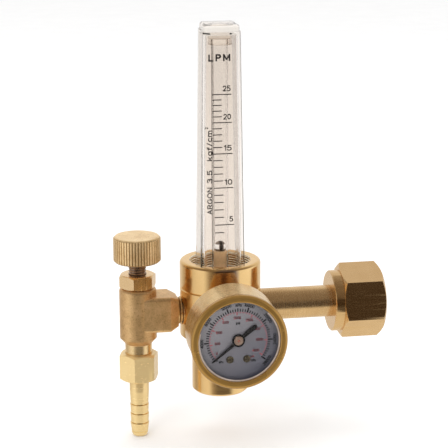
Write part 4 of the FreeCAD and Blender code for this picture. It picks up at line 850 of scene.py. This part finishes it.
def nut_thread():
    """Helical ridge inside the inlet nut's mouth, fading in and out over its first and last steps."""
    pitch, crest, root, turns, steps = 1.8, 9.75, 10.37, 5.6, 48
    lead_in, foot, flat, fading = 0.9, 0.62, 0.10, 10
    mesh = bmesh.new()
    rows = []
    count = int(turns * steps)
    for i in range(count + 1):
        angle = math.tau * i / steps
        depth = lead_in + pitch * i / steps
        fade = min(1.0, i / fading, (count - i) / fading)
        tip = root - (root - crest) * fade
        profile = ((-foot * fade, root), (-flat, tip), (flat, tip), (foot * fade, root))
        rows.append([mesh.verts.new((NUT_MOUTH + (shift - depth) * MM, radius * MM * math.cos(angle),
                                     radius * MM * math.sin(angle))) for shift, radius in profile])
    for a, b in zip(rows, rows[1:]):
        for k in range(3):
            mesh.faces.new((a[k], a[k + 1], b[k + 1], b[k]))
        mesh.faces.new((a[3], a[0], b[0], b[3]))
    bmesh.ops.recalc_face_normals(mesh, faces=mesh.faces[:])
    data = settled("inlet_nut_thread", mesh)
    for polygon in data.polygons:
        polygon.use_smooth = True
    piece("inlet_nut_thread", data, MATERIALS["brass_inner"], "swivel_nut")


lens_rim()
pointer_face()
cap_dot()
nut_thread()


# ---------------------------------------------------------------- stage, light and camera

MIDDLE = (-0.08, 0, 0.02)


def on_stage(x, y, height):
    """A point of the floor, in metres."""
    return Vector((MIDDLE[0] + x, y, CAD_BOX[0].z - 0.5 * MM + height))


def stage_floor():
    """Flat pale floor, just under the object."""
    skin = Finish("stage_floor")
    speck = skin.noise(skin.place, 40, 2.0)
    skin.set("Base Color", skin.ramp(speck, [(0.3, (0.96, 0.96, 0.96)), (0.7, (0.98, 0.98, 0.98))]))
    skin.set("Roughness", 0.9)
    skin.set("Specular IOR Level", 0.1)
    mesh = disc([(radius, 0) for radius in (0.0, 0.3, 0.8, 2.0, 5.0, 12.0)], 64, on_stage)
    obj = bpy.data.objects.new("stage_floor", settled("stage_floor", mesh))
    bpy.context.scene.collection.objects.link(obj)
    dress(obj, skin.material)
    obj.visible_glossy = False


stage_floor()


def grey(level):
    return (level, level, level)


def warm(level):
    """Grey of a level, browner as it darkens."""
    return (level, level ** 1.15, level ** 1.33)


# panels by degrees round the object, and levels of the ceiling by its depth from front to back
PANELS = [(-180, 0.9), (-140, 0.75), (-118, 0.42), (-95, 0.6), (-75, 0.85), (-46, 0.95), (-29, 0.28),
          (-10, 0.045), (38, 0.045), (56, 0.94), (98, 1.05), (122, 0.72), (150, 0.8), (180, 0.9)]
CEILING = [(-1.0, 0.18), (-0.35, 0.22), (0.0, 0.28), (0.3, 0.36), (0.48, 0.55), (0.62, 0.74), (1.0, 0.92)]
# share of the ceiling and of the floor, by height
CEILING_SHARE = [(0.0, 0.0), (0.22, 0.0), (0.5, 1.0)]
FLOOR_SHARE = [(-1.0, 1.0), (-0.5, 1.0), (-0.36, 0.0)]
FLOOR_TONE = (0.85, 0.80, 0.69)


def levels(net, value, stops, tint):
    """Tints by a value from -1 to 1, through stops of (value, level)."""
    share = net.math("ADD", net.times(value, 0.5), 0.5)
    return net.ramp(share, [(at / 2 + 0.5, tint(level)) for at, level in stops])


def studio():
    """White studio to the eye, and to polished metal a ring of soft dark and bright panels."""
    world = bpy.data.worlds.new("studio")
    bpy.context.scene.world = world
    world.use_nodes = True
    net = Net(world.node_tree)
    turned = net.new("ShaderNodeVectorRotate")
    turned.rotation_type = "Z_AXIS"
    turned.inputs["Angle"].default_value = PAN
    net.join(net.new("ShaderNodeTexCoord").outputs["Generated"], turned.inputs["Vector"])
    x, y, z = net.split(turned.outputs[0])
    around = net.math("ARCTAN2", x, net.times(y, -1.0))
    panels = levels(net, net.math("DIVIDE", around, math.pi), [(d / 180, level) for d, level in PANELS], warm)
    raised = net.mix(levels(net, z, CEILING_SHARE, grey), panels, levels(net, y, CEILING, warm))
    reflected = net.mix(levels(net, z, FLOOR_SHARE, grey), raised, FLOOR_TONE)
    path = net.new("ShaderNodeLightPath").outputs
    through = net.times(path["Is Transmission Ray"], net.math("LESS_THAN", path["Glossy Depth"], 0.5))
    plain = net.math("MAXIMUM", net.math("MAXIMUM", path["Is Camera Ray"], path["Is Diffuse Ray"]), through)
    background = net.new("ShaderNodeBackground")
    net.join(net.mix(plain, reflected, (1, 1, 1)), background.inputs["Color"])
    background.inputs["Strength"].default_value = 1.0
    net.join(background.outputs[0], net.new("ShaderNodeOutputWorld").inputs["Surface"])


studio()


def softbox(name, place, size, power):
    light = bpy.data.lights.new(name, "AREA")
    light.shape = "DISK"
    light.size = size
    light.energy = power
    obj = bpy.data.objects.new(name, light)
    bpy.context.scene.collection.objects.link(obj)
    obj.location = place
    obj.rotation_euler = (Vector(MIDDLE) - Vector(place)).to_track_quat("-Z", "Y").to_euler()
    obj.visible_glossy = False


softbox("key_light", (-0.75, -0.85, 0.95), 0.7, 4.0)
softbox("fill_light", (0.9, -0.6, 0.7), 0.8, 1.5)
softbox("top_light", (-0.08, 0.25, 1.1), 0.9, 2.5)


def place_camera():
    data = bpy.data.cameras.new("camera")
    data.sensor_width = 36
    data.lens = 128.8
    data.clip_start = 0.05
    data.clip_end = 50
    camera = bpy.data.objects.new("camera", data)
    bpy.context.scene.collection.objects.link(camera)
    right = Vector((math.cos(PAN), -math.sin(PAN), 0))
    back = Vector((-math.sin(PAN) * math.cos(TILT), -math.cos(PAN) * math.cos(TILT), math.sin(TILT)))
    level = Matrix((right, back.cross(right), back)).transposed()
    camera.matrix_world = Matrix.Translation(EYE) @ (level @ Matrix.Rotation(ROLL, 3, "Z")).to_4x4()
    bpy.context.scene.camera = camera


place_camera()

view = bpy.context.scene.view_settings
view.view_transform = "Standard"
view.look = "None"
